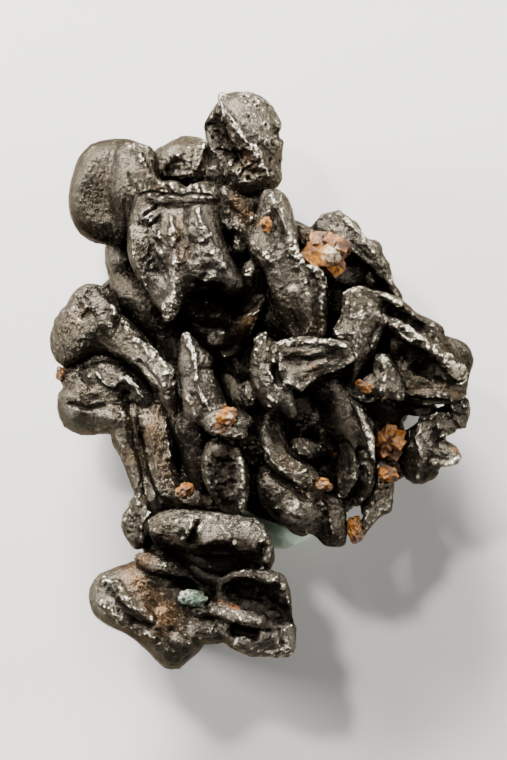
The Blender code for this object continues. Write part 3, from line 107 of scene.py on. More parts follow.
def cells(points, seed):
    # distance to the nearest heart and to the second, and a number of the nearest one's own
    low = np.floor(points).astype(np.int64)
    nearest = np.full(len(points), 9.0)
    second = np.full(len(points), 9.0)
    owner = np.zeros(len(points))
    for offset in np.ndindex(3, 3, 3):
        cell = low + np.array(offset) - 1
        heart = cell + np.stack([hashed(cell, seed + axis) for axis in (11, 22, 33)], axis=1)
        gap = np.linalg.norm(points - heart, axis=1)
        closer = gap < nearest
        second = np.where(closer, nearest, np.minimum(second, gap))
        owner = np.where(closer, hashed(cell, seed + 44), owner)
        nearest = np.where(closer, gap, nearest)
    return nearest, second, owner


def ramp(value, low, high):
    t = np.clip((value - low) / (high - low), 0, 1)
    return t * t * (3 - 2 * t)


# A worm is a list of stations from tip to tip: x, y, height, half width, half thickness.
# A pebble is an outline seen from above, with its middle, half thickness and squareness.
def smoothRun(before, start, end, after, t):
    return 0.5 * (
        2 * start + (end - before) * t + (2 * before - 5 * start + 4 * end - after) * t ** 2
        + (3 * start - before - 3 * end + after) * t ** 3)


def alongStations(stations, share):
    stations = np.asarray(stations, float)
    last = len(stations) - 1
    place = share * last
    first = np.clip(place.astype(int), 0, last - 1)
    near = (stations[np.clip(first + step, 0, last)] for step in (-1, 0, 1, 2))
    return smoothRun(*near, (place - first)[:, None])


def roundOutline(outline, share):
    outline = np.asarray(outline, float)
    place = share * len(outline)
    first = place.astype(int)
    near = (outline[(first + step) % len(outline)] for step in (-1, 0, 1, 2))
    return smoothRun(*near, (place - first)[:, None])


def axesAt(stations, share):
    here = alongStations(stations, share)
    ahead = alongStations(stations, np.minimum(1, share + 0.01))[:, :3]
    behind = alongStations(stations, np.maximum(0, share - 0.01))[:, :3]
    forward = ahead - behind
    forward /= np.linalg.norm(forward, axis=1)[:, None]
    sideways = np.cross(forward, [0.0, 0.0, 1.0])
    sideways /= np.linalg.norm(sideways, axis=1)[:, None] + 1e-9
    outwards = np.cross(sideways, forward)
    return here, forward, sideways, outwards


def endRounding(along):
    power = lumpSettings["endRoundness"]
    return (1 - np.abs(along) ** power) ** (1 / power)


def struck(ball, seed, spread):
    # flat faces where the ball was broken, mostly on the sides that spread favours
    rng = np.random.default_rng(seed)
    for normal in rng.normal(size=(lumpSettings["chips"], 3)) * spread:
        normal /= np.linalg.norm(normal)
        slack = rng.uniform(-lumpSettings["chipSpread"], lumpSettings["chipSpread"])
        reach = (ball @ normal).max() * (lumpSettings["chipDepth"] + slack)
        ball -= np.outer(np.maximum(ball @ normal - reach, 0), normal)
    return ball


def wormPoints(directions, stations, seed):
    angle = np.arctan2(directions[:, 1], directions[:, 0])
    along = np.clip(directions[:, 2], -1, 1)
    power = 2 / lumpSettings["corner"]
    across = np.sign(np.cos(angle)) * np.abs(np.cos(angle)) ** power
    through = np.sign(np.sin(angle)) * np.abs(np.sin(angle)) ** power
    ball = np.stack([across * endRounding(along), through * endRounding(along), along], axis=1)
    ball = struck(ball, seed, lumpSettings["wormChips"])
    share = (np.clip(ball[:, 2], -1, 1) + 1) / 2
    here, forward, sideways, outwards = axesAt(stations, share)
    return here[:, :3] + sideways * (ball[:, :1] * here[:, 3:4]) + outwards * (ball[:, 1:2] * here[:, 4:5])


def pebblePoints(directions, pebble, seed):
    power = 2 / pebble["edge"]
    level = np.hypot(directions[:, 0], directions[:, 1]) ** power
    angle = np.arctan2(directions[:, 1], directions[:, 0])
    above = np.sign(directions[:, 2]) * np.abs(directions[:, 2]) ** power
    ball = np.stack([level * np.cos(angle), level * np.sin(angle), above], axis=1)
    ball = struck(ball, seed, lumpSettings["pebbleChips"])
    share = np.arctan2(ball[:, 1], ball[:, 0]) / (2 * np.pi) % 1
    middle = np.array(pebble["middle"])
    rim = roundOutline(pebble["outline"], share) - middle[:2]
    out = rim * np.hypot(ball[:, 0], ball[:, 1])[:, None]
    return middle + np.column_stack([out, ball[:, 2] * pebble["thick"]])


def newObject(bm, name):
    mesh = bpy.data.meshes.new(name)
    bm.to_mesh(mesh)
    bm.free()
    piece = bpy.data.objects.new(name, mesh)
    bpy.context.scene.collection.objects.link(piece)
    return piece


def applyModifiers(piece):
    graph = bpy.context.evaluated_depsgraph_get()
    made = bpy.data.meshes.new_from_object(piece.evaluated_get(graph))
    piece.modifiers.clear()
    old = piece.data
    piece.data = made
    bpy.data.meshes.remove(old)


def ballMesh(around, rings):
    ball = bmesh.new()
    bmesh.ops.create_uvsphere(ball, u_segments=around, v_segments=rings, radius=1.0)
    directions = np.array([vert.co[:] for vert in ball.verts])
    mesh = bpy.data.meshes.new("ball")
    ball.to_mesh(mesh)
    ball.free()
    return mesh, directions


def voxelSkin(piece, voxel):
    fuse = piece.modifiers.new("fuse", "REMESH")
    fuse.mode = "VOXEL"
    fuse.voxel_size = voxel
    applyModifiers(piece)


def faceted(piece, facet, voxel):
    # thinned until only flats of this size are left, then skinned finely again
    area = sum(face.area for face in piece.data.polygons)
    piece.data.calc_loop_triangles()
    thin = piece.modifiers.new("thin", "DECIMATE")
    wanted = area / (lumpSettings["faceShare"] * facet ** 2)
    thin.ratio = min(1.0, wanted / len(piece.data.loop_triangles))
    applyModifiers(piece)
    voxelSkin(piece, voxel)


def softened(mesh, points, rounds):
    ends = np.empty(len(mesh.edges) * 2, np.int64)
    mesh.edges.foreach_get("vertices", ends)
    ends = ends.reshape(-1, 2)
    both = np.concatenate([ends, ends[:, ::-1]])
    count = np.maximum(np.bincount(both[:, 0], minlength=len(points)), 1)[:, None]
    for _ in range(rounds):
        points = np.stack([
            np.bincount(both[:, 0], weights=points[both[:, 1], axis], minlength=len(points))
            for axis in range(3)], axis=1) / count
    return points


def fusedLumps(name, lumps, voxel, facet):
    wormMesh, wormDirections = ballMesh(lumpSettings["wormAround"], lumpSettings["wormAlong"])
    pebbleMesh, pebbleDirections = ballMesh(lumpSettings["pebbleAround"], lumpSettings["pebbleRings"])
    together = bmesh.new()
    for number, lump in enumerate(lumps.values()):
        seed = sum(map(ord, name)) + 17 * number
        if "outline" in lump:
            one, made = pebbleMesh, pebblePoints(pebbleDirections, lump, seed)
        else:
            one, made = wormMesh, wormPoints(wormDirections, lump, seed)
        one.vertices.foreach_set("co", made.ravel())
        together.from_mesh(one)
    bpy.data.meshes.remove(wormMesh)
    bpy.data.meshes.remove(pebbleMesh)
    piece = newObject(together, name)
    voxelSkin(piece, max(voxel, lumpSettings["fuseVoxel"]))
    faceted(piece, facet, voxel)
    points, _ = readPoints(piece.data)
    writePoints(piece.data, softened(piece.data, points, lumpSettings["soften"]))
    return piece


# sculpting: each point knows which lump it lies on and where along it
def readPoints(mesh):
    points = np.empty(len(mesh.vertices) * 3)
    mesh.vertices.foreach_get("co", points)
    normals = np.empty(len(mesh.vertices) * 3)
    mesh.vertices.foreach_get("normal", normals)
    return points.reshape(-1, 3), normals.reshape(-1, 3)


def writePoints(mesh, points):
    mesh.vertices.foreach_set("co", points.ravel())
    mesh.update()


def keepValue(mesh, name, values):
    kind = "FLOAT_VECTOR" if values.ndim == 2 else "FLOAT"
    field = "vector" if values.ndim == 2 else "value"
    attribute = mesh.attributes.new(name, kind, "POINT")
    attribute.data.foreach_set(field, values.astype(np.float32).ravel())


def onWorm(points, stations):
    # how far out each point lies, 1 on the skin, and its straightened across, through, along
    share = np.linspace(0.02, 0.98, 26)  # places that are tried along it
    here, forward, sideways, outwards = axesAt(stations, share)
    steps = np.linalg.norm(np.diff(here[:, :3], axis=0), axis=1)
    length = np.concatenate([[0], np.cumsum(steps)])
    near = np.argmin(((points[:, None, :] - here[None, :, :3]) ** 2).sum(axis=2), axis=1)
    away = points - here[near, :3]
    across = (away * sideways[near]).sum(axis=1)
    through = (away * outwards[near]).sum(axis=1)
    beyond = (away * forward[near]).sum(axis=1)
    rounding = endRounding(share * 2 - 1)[near] + 0.15  # never nothing at the tips
    level = np.sqrt(
        (across / (here[near, 3] * rounding)) ** 2
        + (through / (here[near, 4] * rounding)) ** 2
        + (beyond / here[near, 3]) ** 2)
    return level, np.stack([across, through, length[near] + beyond], axis=1)


def onPebble(points, pebble):
    middle = np.array(pebble["middle"])
    rim = roundOutline(pebble["outline"], np.linspace(0, 1, 97)[:-1]) - middle[:2]
    angle = np.arctan2(rim[:, 1], rim[:, 0])
    away = points - middle
    out = np.hypot(away[:, 0], away[:, 1])
    reach = np.interp(
        np.arctan2(away[:, 1], away[:, 0]), angle, np.hypot(rim[:, 0], rim[:, 1]), period=2 * np.pi)
    level = np.sqrt((out / reach) ** 2 + (away[:, 2] / pebble["thick"]) ** 2)
    turn = np.radians(pebble["turn"])
    along = away[:, 0] * np.cos(turn) + away[:, 1] * np.sin(turn)
    across = away[:, 1] * np.cos(turn) - away[:, 0] * np.sin(turn)
    return level, np.stack([across, away[:, 2], along], axis=1)


def flowOf(points, lumps):
    best = np.full(len(points), 1e9)
    flow = np.zeros((len(points), 3))
    for number, lump in enumerate(lumps.values()):
        level, own = onPebble(points, lump) if "outline" in lump else onWorm(points, lump)
        mine = level < best
        best = np.where(mine, level, best)
        flow[mine] = (own + np.array([31.7, 17.3, 0.0]) * number)[mine]  # no two lumps share a pattern
    return flow


def lineDistance(points, line):
    flat = points[:, :2]
    line = np.asarray(line, float)
    if len(line) == 1:
        return np.linalg.norm(flat - line[0], axis=1)
    nearest = np.full(len(points), 1e9)
    for start, end in zip(line[:-1], line[1:]):
        run = end - start
        t = np.clip(((flat - start) @ run) / (run @ run), 0, 1)
        nearest = np.minimum(nearest, np.linalg.norm(flat - start - t[:, None] * run, axis=1))
    return nearest


def strokeWeight(points, wobble, width, line):
    gap = lineDistance(points, line) + wobble * min(2 * width ** 2, 0.5)
    return np.exp(-(np.maximum(gap, 0) / width) ** 2 * 1.6)


def ridgeValue(mesh, points, normals, rounds):
    # how far each point stands out from its neighbours: worn ridges high, crevices low
    return ((points - softened(mesh, points, rounds)) * normals).sum(axis=1)


plainSkin = {
    "swell": 0.20,
    "swellSize": 2.8,
    "scallop": 0.09,
    "scallopSize": (2.2, 3.2),  # across a lump and along it
    "streak": 0.03,
    "ledge": 0.05,
    "ledgeCount": 4,
    # worn patches also take painted highlights in the metal
    "patchSize": 1.7,  # worn patches
    "grit": 0.06,
    "gritScale": 3.4,
    "pit": 0.09,
    "pitSize": 0.62,
    "pitShare": 0.05,
}


def sculpt(piece, lumps, skin, marks):
    skin = {**plainSkin, **skin}
    mesh = piece.data
    points, normals = readPoints(mesh)
    flow = flowOf(points, lumps)
    seed = sum(map(ord, piece.name)) % 997
    front = ramp(normals[:, 2], -0.15, 0.35)  # lines are cut only where the skin faces up
    wobble = softNoise(points * 1.3, seed) * 0.7 + softNoise(points * 3.1, seed + 5) * 0.35

    width, length = skin["scallopSize"]
    warped = flow + layeredNoise(flow * 0.5, 2, seed + 1)[:, None] * np.array([0.7, 0.6, 0.9])
    nearest, second, owner = cells(warped / np.array([width, width, length]), seed)
    hollow = np.minimum(nearest, 0.85) ** 2 / 0.5 - 0.5  # a shallow dish in each cell
    height = skin["swell"] * layeredNoise(points / skin["swellSize"], 2, seed + 2)
    height += skin["scallop"] * hollow * (0.4 + 1.1 * owner)

    terrace = layeredNoise(flow * np.array([0.5, 0.5, 0.35]), 3, seed + 3) * skin["ledgeCount"]
    stepped = np.floor(terrace) + ramp(terrace - np.floor(terrace), 0.55, 0.85)  # treads and risers
    height += skin["ledge"] * (stepped - terrace)
    height += skin["streak"] * layeredNoise(flow * np.array([3.0, 3.0, 0.5]), 3, seed + 4)

    # the dark tints are painted shade and the bright tints painted highlights; rust, pale and brown are the
    # metal's own colours
    tints = {name: np.zeros(len(points)) for name in ("rust", "pale", "brown", "bright", "dark")}
    for kind, width, amount, *line in marks:
        weight = strokeWeight(points, wobble, width, line)
        if kind == "ridge":
            height += amount * weight * front
        elif kind == "groove":
            height -= amount * weight * front
        else:
            tints[kind] = np.maximum(tints[kind], amount * weight * ramp(normals[:, 2], -0.5, 0.0))
    writePoints(mesh, points + normals * height[:, None])

    # worn ridges are rough and pitted, the faces between them stay smooth; this mask, with the bright marks,
    # also sets the painted highlights in the metal
    points, normals = readPoints(mesh)
    ridge = ridgeValue(mesh, points, normals, 12) / 0.10  # 1 where it stands out a tenth of a millimetre
    patches = layeredNoise(points / skin["patchSize"], 3, seed + 8)
    worn = ramp(ridge + patches * 0.8 + tints["bright"] * 0.9, 0.1, 1.3)
    rough = 0.25 + 1.25 * worn
    height = skin["grit"] * layeredNoise(points * skin["gritScale"], 3, seed + 6, 0.7) * rough
    small, _, which = cells(points / skin["pitSize"], seed + 7)
    pitted = which < skin["pitShare"] * (0.4 + 2.2 * worn)
    height -= skin["pit"] * ramp(0.40 - small, 0, 0.22) * pitted
    writePoints(mesh, points + normals * height[:, None])

    points, normals = readPoints(mesh)
    keepValue(mesh, "flow", flow)
    keepValue(mesh, "worn", worn)
    # painted shade: the steep sides are darkened in the metal
    keepValue(mesh, "flank", ramp(wobble * 0.25 - normals[:, 2], -0.5, 0.1))  # steep sides
    # how far each point stands out, for painted highlights on the ridges and painted shade in the crevices
    keepValue(mesh, "wear", ridgeValue(mesh, points, normals, 4) / 0.05)
    for name, values in tints.items():
        keepValue(mesh, name, values)


def settle(piece):
    # millimetres as drawn become metres in the frame, and nothing reaches below the floor
    points, _ = readPoints(piece.data)
    points = (points - drawnMiddle) * mm
    points[:, 2] = np.maximum(points[:, 2], 0)
    writePoints(piece.data, points)
    for face in piece.data.polygons:
        face.use_smooth = True


def besides(grid):
    return sum(np.roll(grid, step, axis) for step in (-1, 1) for axis in (0, 1))


hollowMap = {
    "cell": 0.0005,  # metres
    "margin": 0.004,
    "side": 110,  # cells along each side
    "spread": 5,
    "blur": 3,
}


def keepDepth(pieces):
    # how far each point lies below the tops round it, for the painted shade in the hollows
    low = np.array([cadBox[0][0], cadBox[0][1]]) - hollowMap["margin"]
    side = hollowMap["side"]
    tops = np.zeros((side, side))
    spots = []
    for piece in pieces:
        points, normals = readPoints(piece.data)
        spot = np.clip(((points[:, :2] - low) / hollowMap["cell"]).astype(int), 0, side - 1)
        np.maximum.at(tops, (spot[:, 0], spot[:, 1]), points[:, 2])
        spots.append((piece, points, spot, ramp(normals[:, 2], 0.0, 0.5)))
    for _ in range(hollowMap["spread"]):
        tops = np.maximum(tops, besides(tops) / 4)
    for _ in range(hollowMap["blur"]):
        tops = (tops + besides(tops)) / 5
    for piece, points, spot, facing in spots:
        keepValue(piece.data, "depth", (tops[spot[:, 0], spot[:, 1]] - points[:, 2]) / mm * facing)


# shader graphs written as expressions
class Wire:
    def __init__(self, finish, socket):
        self.finish = finish
        self.socket = socket

    def maths(self, operation, *values):
        return self.finish.node("ShaderNodeMath", {"operation": operation}, dict(enumerate(values)))

    def __add__(self, other):
        return self.maths("ADD", self, other)

    __radd__ = __add__

    def __sub__(self, other):
        return self.maths("SUBTRACT", self, other)

    def __rsub__(self, other):
        return self.maths("SUBTRACT", other, self)

    def __mul__(self, other):
        return self.maths("MULTIPLY", self, other)

    __rmul__ = __mul__

    def ramped(self, low, high, start=0.0, end=1.0):
        return self.finish.node(
            "ShaderNodeMapRange", {"interpolation_type": "SMOOTHSTEP"},
            {"Value": self, "From Min": low, "From Max": high, "To Min": start, "To Max": end})


class Finish:
    def __init__(self, name):
        self.material = bpy.data.materials.new(name)
        self.material.use_nodes = True
        self.tree = self.material.node_tree
        self.shader = self.tree.nodes["Principled BSDF"]

    def node(self, kind, settings, sockets, output=0):
        made = self.tree.nodes.new(kind)
        for name, value in settings.items():
            setattr(made, name, value)
        for name, value in sockets.items():
            self.plug(made.inputs[name], value)
        return Wire(self, made.outputs[output])

    def plug(self, socket, value):
        if isinstance(value, Wire):
            self.tree.links.new(value.socket, socket)
        else:
            socket.default_value = value

    def place(self):
        return self.node("ShaderNodeTexCoord", {}, {}, "Object")

    def value(self, name, output="Fac"):
        return self.node("ShaderNodeAttribute", {"attribute_name": name}, {}, output)

    def stretched(self, vector, scale):
        return self.node("ShaderNodeMapping", {}, {"Vector": vector, "Scale": scale})

    def noise(self, vector, scale, detail, roughness):
        return self.node("ShaderNodeTexNoise", {}, {
            "Vector": vector, "Scale": scale, "Detail": detail, "Roughness": roughness})

    def cells(self, vector, scale):
        return self.node("ShaderNodeTexVoronoi", {}, {"Vector": vector, "Scale": scale}, "Distance")

    def mix(self, share, first, second):
        # a colour mix has its colours at sockets 6 and 7 and its result at 2
        return self.node("ShaderNodeMix", {"data_type": "RGBA"}, {0: share, 6: first, 7: second}, 2)

    def bump(self, height, distance, strength=1.0):
        return self.node("ShaderNodeBump", {}, {"Height": height, "Distance": distance, "Strength": strength})

    def surface(self, **sockets):
        for name, value in sockets.items():
            label = "".join(" " + c if c.isupper() else c for c in name).strip().title()
            self.plug(self.shader.inputs[label], value)
        return self.material


metalLook = {
    # the darkest tone: dark specks, and the painted shade in crevices, hollows and on steep sides
    "deep": (0.009, 0.007, 0.005, 1),
    "body": (0.055, 0.046, 0.033, 1),
    "grey": (0.120, 0.106, 0.084, 1),
    # the pale colour of the painted highlights and glints
    "worn": (0.74, 0.67, 0.54, 1),
    "bronze": (0.105, 0.064, 0.034, 1),
    "rust": (0.21, 0.075, 0.018, 1),
    "chalk": (0.52, 0.45, 0.34, 1),
    "grazing": (0.35, 0.32, 0.28, 1),  # keeps steep sides from mirroring the pale floor
    "broadScale": 110.0,  # patterns on a metre
    "bronzeScale": 190.0,
    "crustScale": 2100.0,
    "speckScale": 2600.0,
    "dentScale": 2700.0,
    "fineScale": 5200.0,
    "streakScale": (5.5, 5.5, 0.7),  # patterns on a millimetre, across, through and along a lump
    "roughness": 0.30,
    "metallic": 0.92,
    "reliefDepth": 0.00022,
}


def metalFinish():
    m = Finish("acanthite_metal")
    place = m.place()
    flow = m.value("flow", "Vector")
    wear = m.value("wear")
    worn = m.value("worn")
    broad = m.noise(place, metalLook["broadScale"], 4.0, 0.55)
    crust = m.noise(place, metalLook["crustScale"], 6.0, 0.72)
    dents = m.cells(place, metalLook["dentScale"])
    fine = m.noise(place, metalLook["fineScale"], 3.0, 0.6)
    speck = m.cells(place, metalLook["speckScale"])
    streaks = m.noise(m.stretched(flow, metalLook["streakScale"]), 1.0, 5.0, 0.66)
    # painted shade: how deep the skin lies below the tops round it
    hollow = m.value("depth").ramped(1.4, 5.0)
    # painted shade: the crevices, where the skin lies below its neighbours
    crevice = wear.ramped(-0.15, -1.2)
    # painted highlight: the edges that stand out
    edge = (wear + (crust - 0.5) * 3.0).ramped(0.7, 2.0)

    colour = m.mix(broad.ramped(0.36, 0.64), metalLook["body"], metalLook["grey"])
    tarnish = m.noise(place, metalLook["bronzeScale"], 5.0, 0.6).ramped(0.54, 0.70)
    bronze = (tarnish * 0.4 + m.value("brown")).ramped(0.0, 1.0)
    colour = m.mix(bronze, colour, metalLook["bronze"])
    colour = m.mix(crust.ramped(0.46, 0.32) * 0.7, colour, metalLook["deep"])
    # painted glints on the rough spots, and painted highlights on the edges
    sparkle = worn * crust.ramped(0.47, 0.64)
    shine = edge * (worn * 0.8 + 0.15) + sparkle * 0.7 + crust.ramped(0.60, 0.70) * 0.35
    shine = shine * (1.0 - m.value("dark") * 0.7)
    # painted highlight: the pale colour laid where the shine is
    colour = m.mix(shine.ramped(0.05, 1.0), colour, metalLook["worn"])
    # painted shade: the crevices darkened
    colour = m.mix(crevice * 0.8, colour, metalLook["deep"])
    # painted shade: black in the hollows, on the steep sides and under the dark marks
    black = (hollow * 0.9 + m.value("flank") * 0.3 + m.value("dark") * (1.5 - crust * 0.8)).ramped(0.0, 1.0)
    colour = m.mix(black, colour, metalLook["deep"])
    rust = (m.value("rust") * crust.ramped(0.36, 0.60)).ramped(0.1, 0.9)
    colour = m.mix(rust, colour, metalLook["rust"])
    pale = (m.value("pale") * (crust * 1.4)).ramped(0.35, 0.85)
    colour = m.mix(pale, colour, metalLook["chalk"])

    cover = (rust + pale).ramped(0.0, 1.0)
    roughness = (
        metalLook["roughness"] - shine * 0.06 + crevice * 0.25 + (crust - 0.5) * 0.5
        + cover * 0.35).ramped(0.0, 1.0)
    metallic = metalLook["metallic"] - cover * 0.85
    relief = (
        streaks * 0.45 + crust * (0.28 + worn * 0.8) + fine * 0.08
        - dents.ramped(0.1, 0.7) * (0.10 + worn * 0.45) - speck.ramped(0.22, 0.05) * 0.3)
    normal = m.bump(relief, metalLook["reliefDepth"])
    m.shader.inputs["Specular Tint"].default_value = metalLook["grazing"]
    return m.surface(baseColor=colour, roughness=roughness, metallic=metallic, normal=normal)


grainLook = {
    "orange": (0.17, 0.050, 0.005, 1),
    "amber": (0.38, 0.165, 0.022, 1),
    "cream": (0.66, 0.54, 0.36, 1),
    "umber": (0.06, 0.024, 0.009, 1),
    "broadScale": 420.0,
    "stainScale": 900.0,
    "gritScale": 2600.0,
    "reliefDepth": 0.00012,
}


def grainFinish(name, creamShare):
    m = Finish(name)
    place = m.place()
    broad = m.noise(place, grainLook["broadScale"], 4.0, 0.6)
    grit = m.noise(place, grainLook["gritScale"], 5.0, 0.65)
    colour = m.mix(grit.ramped(0.38, 0.66), grainLook["orange"], grainLook["amber"])
    cream = (m.value("cream") * creamShare * 0.75 + (broad - 0.5) * 2.0 + (grit - 0.5) * 1.6).ramped(0.2, 0.9)
    colour = m.mix(cream, colour, grainLook["cream"])
    stainAndShade = m.noise(place, grainLook["stainScale"], 4.0, 0.6).ramped(0.54, 0.40) * 0.9
    # painted shade: darker where the skin lies below its neighbours, on top of the random stains
    stainAndShade = stainAndShade + m.value("wear").ramped(0.1, -0.7)
    colour = m.mix((stainAndShade - cream * 0.5).ramped(0.0, 1.0), colour, grainLook["umber"])
    roughness = grit.ramped(0.3, 0.7, 0.62, 0.28)
    normal = m.bump(grit, grainLook["reliefDepth"])
    return m.surface(baseColor=colour, roughness=roughness, normal=normal)


crustLook = {
    "green": (0.16, 0.26, 0.17, 1),
    "pale": (0.66, 0.70, 0.60, 1),
    "dark": (0.05, 0.055, 0.04, 1),
    "patchScale": 700.0,
    "gritScale": 3200.0,
    "reliefDepth": 0.0003,
}


def crustFinish():
    m = Finish("pale_green_crust")
    place = m.place()
    grit = m.noise(place, crustLook["gritScale"], 5.0, 0.72)
    patches = m.noise(place, crustLook["patchScale"], 3.0, 0.5).ramped(0.4, 0.6)
    colour = m.mix(patches, crustLook["green"], crustLook["pale"])
    colour = m.mix(grit.ramped(0.54, 0.44), colour, crustLook["dark"])
    roughness = grit.ramped(0.3, 0.7, 0.5, 0.2)
    return m.surface(baseColor=colour, roughness=roughness, normal=m.bump(grit, crustLook["reliefDepth"]))


puttyLook = {
    "sea": (0.58, 0.78, 0.60, 1),
    "light": (0.70, 0.86, 0.70, 1),
    "grime": (0.20, 0.30, 0.24, 1),
    "smudgeScale": 220.0,
    "fineScale": 3000.0,
    "reliefDepth": 0.00004,
    "glow": 0.3,
    "glowReach": (0.0008, 0.0012, 0.0008),
}


def puttyFinish():
    m = Finish("green_putty")
    place = m.place()
    smudge = m.noise(place, puttyLook["smudgeScale"], 4.0, 0.6)
    fine = m.noise(place, puttyLook["fineScale"], 4.0, 0.6)
    colour = m.mix(smudge.ramped(0.35, 0.65), puttyLook["sea"], puttyLook["light"])
    colour = m.mix(fine.ramped(0.62, 0.75) * 0.3, colour, puttyLook["grime"])
    m.shader.inputs["Subsurface Weight"].default_value = puttyLook["glow"]
    m.shader.inputs["Subsurface Radius"].default_value = puttyLook["glowReach"]
    m.shader.inputs["Subsurface Scale"].default_value = 1.0
    normal = m.bump(fine, puttyLook["reliefDepth"], 0.5)
    return m.surface(baseColor=colour, roughness=smudge.ramped(0.3, 0.7, 0.5, 0.68), normal=normal)


metal = metalFinish()
massPieces = []


def buildPiece(name, settings):
    lumps = settings["lumps"]
    voxel = settings.get("voxel", lumpSettings["voxel"]) * 1
    piece = fusedLumps(name, lumps, voxel, settings.get("facet", lumpSettings["facet"]))
    sculpt(piece, lumps, settings.get("skin", {}), settings.get("marks", []))
    settle(piece)
    piece.data.materials.append(metal)
    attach(piece, "root")
    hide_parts("acanthite")
    print(name, "sculpted:", len(piece.data.polygons), "faces")
    return piece


# The mass, region by region. A mark is its kind, width, depth or strength, and the points of its line.
# "skin" changes plainSkin for one piece, and marks that aren't ridges or grooves tint the metal: "dark" marks
# are painted shade, "bright" marks painted highlights that also roughen the skin, and rust, pale and brown
# marks the metal's own colours.

topKnob = {
    "skin": {"pit": 0.34, "pitShare": 0.3},
    "lumps": {
        "top knob": {
            "middle": (-1.8, 19.5, 13.6), "thick": 3.3, "edge": 2.4, "turn": 70,
            "outline": [
                (-5.05, 20.2), (-4.4, 21.6), (-3.2, 22.9), (-1.7, 23.5), (-0.6, 23.3), (0.2, 22.6),
                (0.9, 21.4), (1.45, 20.3), (1.2, 19.5), (1.6, 19.0), (1.3, 18.1), (1.2, 16.8), (1.2, 15.8),
                (0.4, 15.0), (-1.0, 14.7), (-2.6, 15.2), (-3.4, 16.2), (-3.9, 17.4), (-4.6, 18.7),
            ],
        },
    },
    "marks": [
        (
            "ridge", 0.4, 0.45, (-3.4, 22.5), (-3.1, 21.0), (-2.8, 20.8), (-2.2, 19.9), (-1.6, 19.0),
            (-1.0, 18.4), (0.0, 16.5)),
        ("groove", 1.15, 1.0, (-4.5, 20.8), (-3.7, 19.2), (-2.6, 17.2)),
        ("groove", 0.55, 0.75, (1.25, 19.4)),
        ("groove", 0.5, 0.6, (-1.7, 17.8)),
        ("groove", 0.6, 0.6, (-1.5, 16.5)),
        ("groove", 0.16, 0.3, (-3.9, 18.0), (-3.0, 17.6), (-2.6, 16.6)),
        ("ridge", 0.25, 0.25, (-3.9, 16.6), (-3.0, 16.3), (-2.4, 16.7)),
        ("ridge", 0.3, 0.2, (-4.2, 18.4), (-3.2, 18.1)),
        ("groove", 0.3, 0.25, (0.2, 22.0), (0.7, 21.0)),
        ("bright", 1.7, 0.8, (-1.6, 22.6), (-0.6, 20.6), (0.0, 19.0)),
        ("rust", 0.35, 0.8, (-1.7, 18.0)),
        ("brown", 1.3, 0.5, (-1.2, 17.4)),
        ("dark", 1.0, 0.9, (-4.6, 20.6), (-3.8, 19.0), (-2.7, 17.3)),
        ("dark", 0.5, 0.9, (-1.5, 16.6)),
    ],
}
massPieces.append(buildPiece("topKnob", topKnob))

leftKnob = {
    "skin": {"scallop": 0.04, "swell": 0.12, "ledge": 0.03},
    "lumps": {
        "left knob": {
            "middle": (-12.6, 15.1, 12.0), "thick": 3.1, "edge": 2.4, "turn": 80,
            "outline": [
                (-9.4, 18.2), (-10.2, 19.1), (-11.7, 19.35), (-13.4, 19.1), (-14.5, 18.4), (-15.3, 16.8),
                (-15.75, 15.0), (-15.6, 13.2), (-14.8, 11.7), (-13.5, 10.9), (-11.9, 10.8), (-10.6, 11.2),
                (-9.9, 13.0), (-9.4, 16.0),
            ],
        },
        "left knob shoulder": [
            (-10.9, 18.7, 12.8, 1.6, 2.2), (-10.5, 17.3, 13.3, 2.1, 2.4), (-10.5, 14.8, 13.7, 2.1, 2.5),
            (-10.9, 12.0, 13.2, 1.7, 2.2),
        ],
        "lump under the left knob": [
            (-11.6, 11.7, 8.5, 1.5, 2.2), (-11.3, 9.6, 8.3, 1.7, 2.4), (-11.0, 7.1, 8.2, 1.4, 2.0),
        ],
    },
    "marks": [
        ("groove", 0.14, 0.1, (-11.2, 14.2), (-11.0, 12.0)),
        ("ridge", 0.35, 0.35, (-9.9, 17.7), (-9.4, 16.3), (-8.6, 15.8)),
        ("bright", 0.6, 1.0, (-10.6, 18.6), (-10.0, 17.3), (-9.6, 16.2)),
        ("groove", 0.25, 0.2, (-10.9, 16.4), (-10.4, 15.2)),
        ("brown", 1.4, 0.25, (-13.4, 17.4), (-12.6, 14.6)),
        ("dark", 2.6, 0.3, (-13.2, 16.5), (-13.4, 13.6)),
        ("dark", 0.6, 0.6, (-14.6, 12.4), (-13.4, 11.3), (-12.0, 11.1)),
    ],
}
massPieces.append(buildPiece("leftKnob", leftKnob))

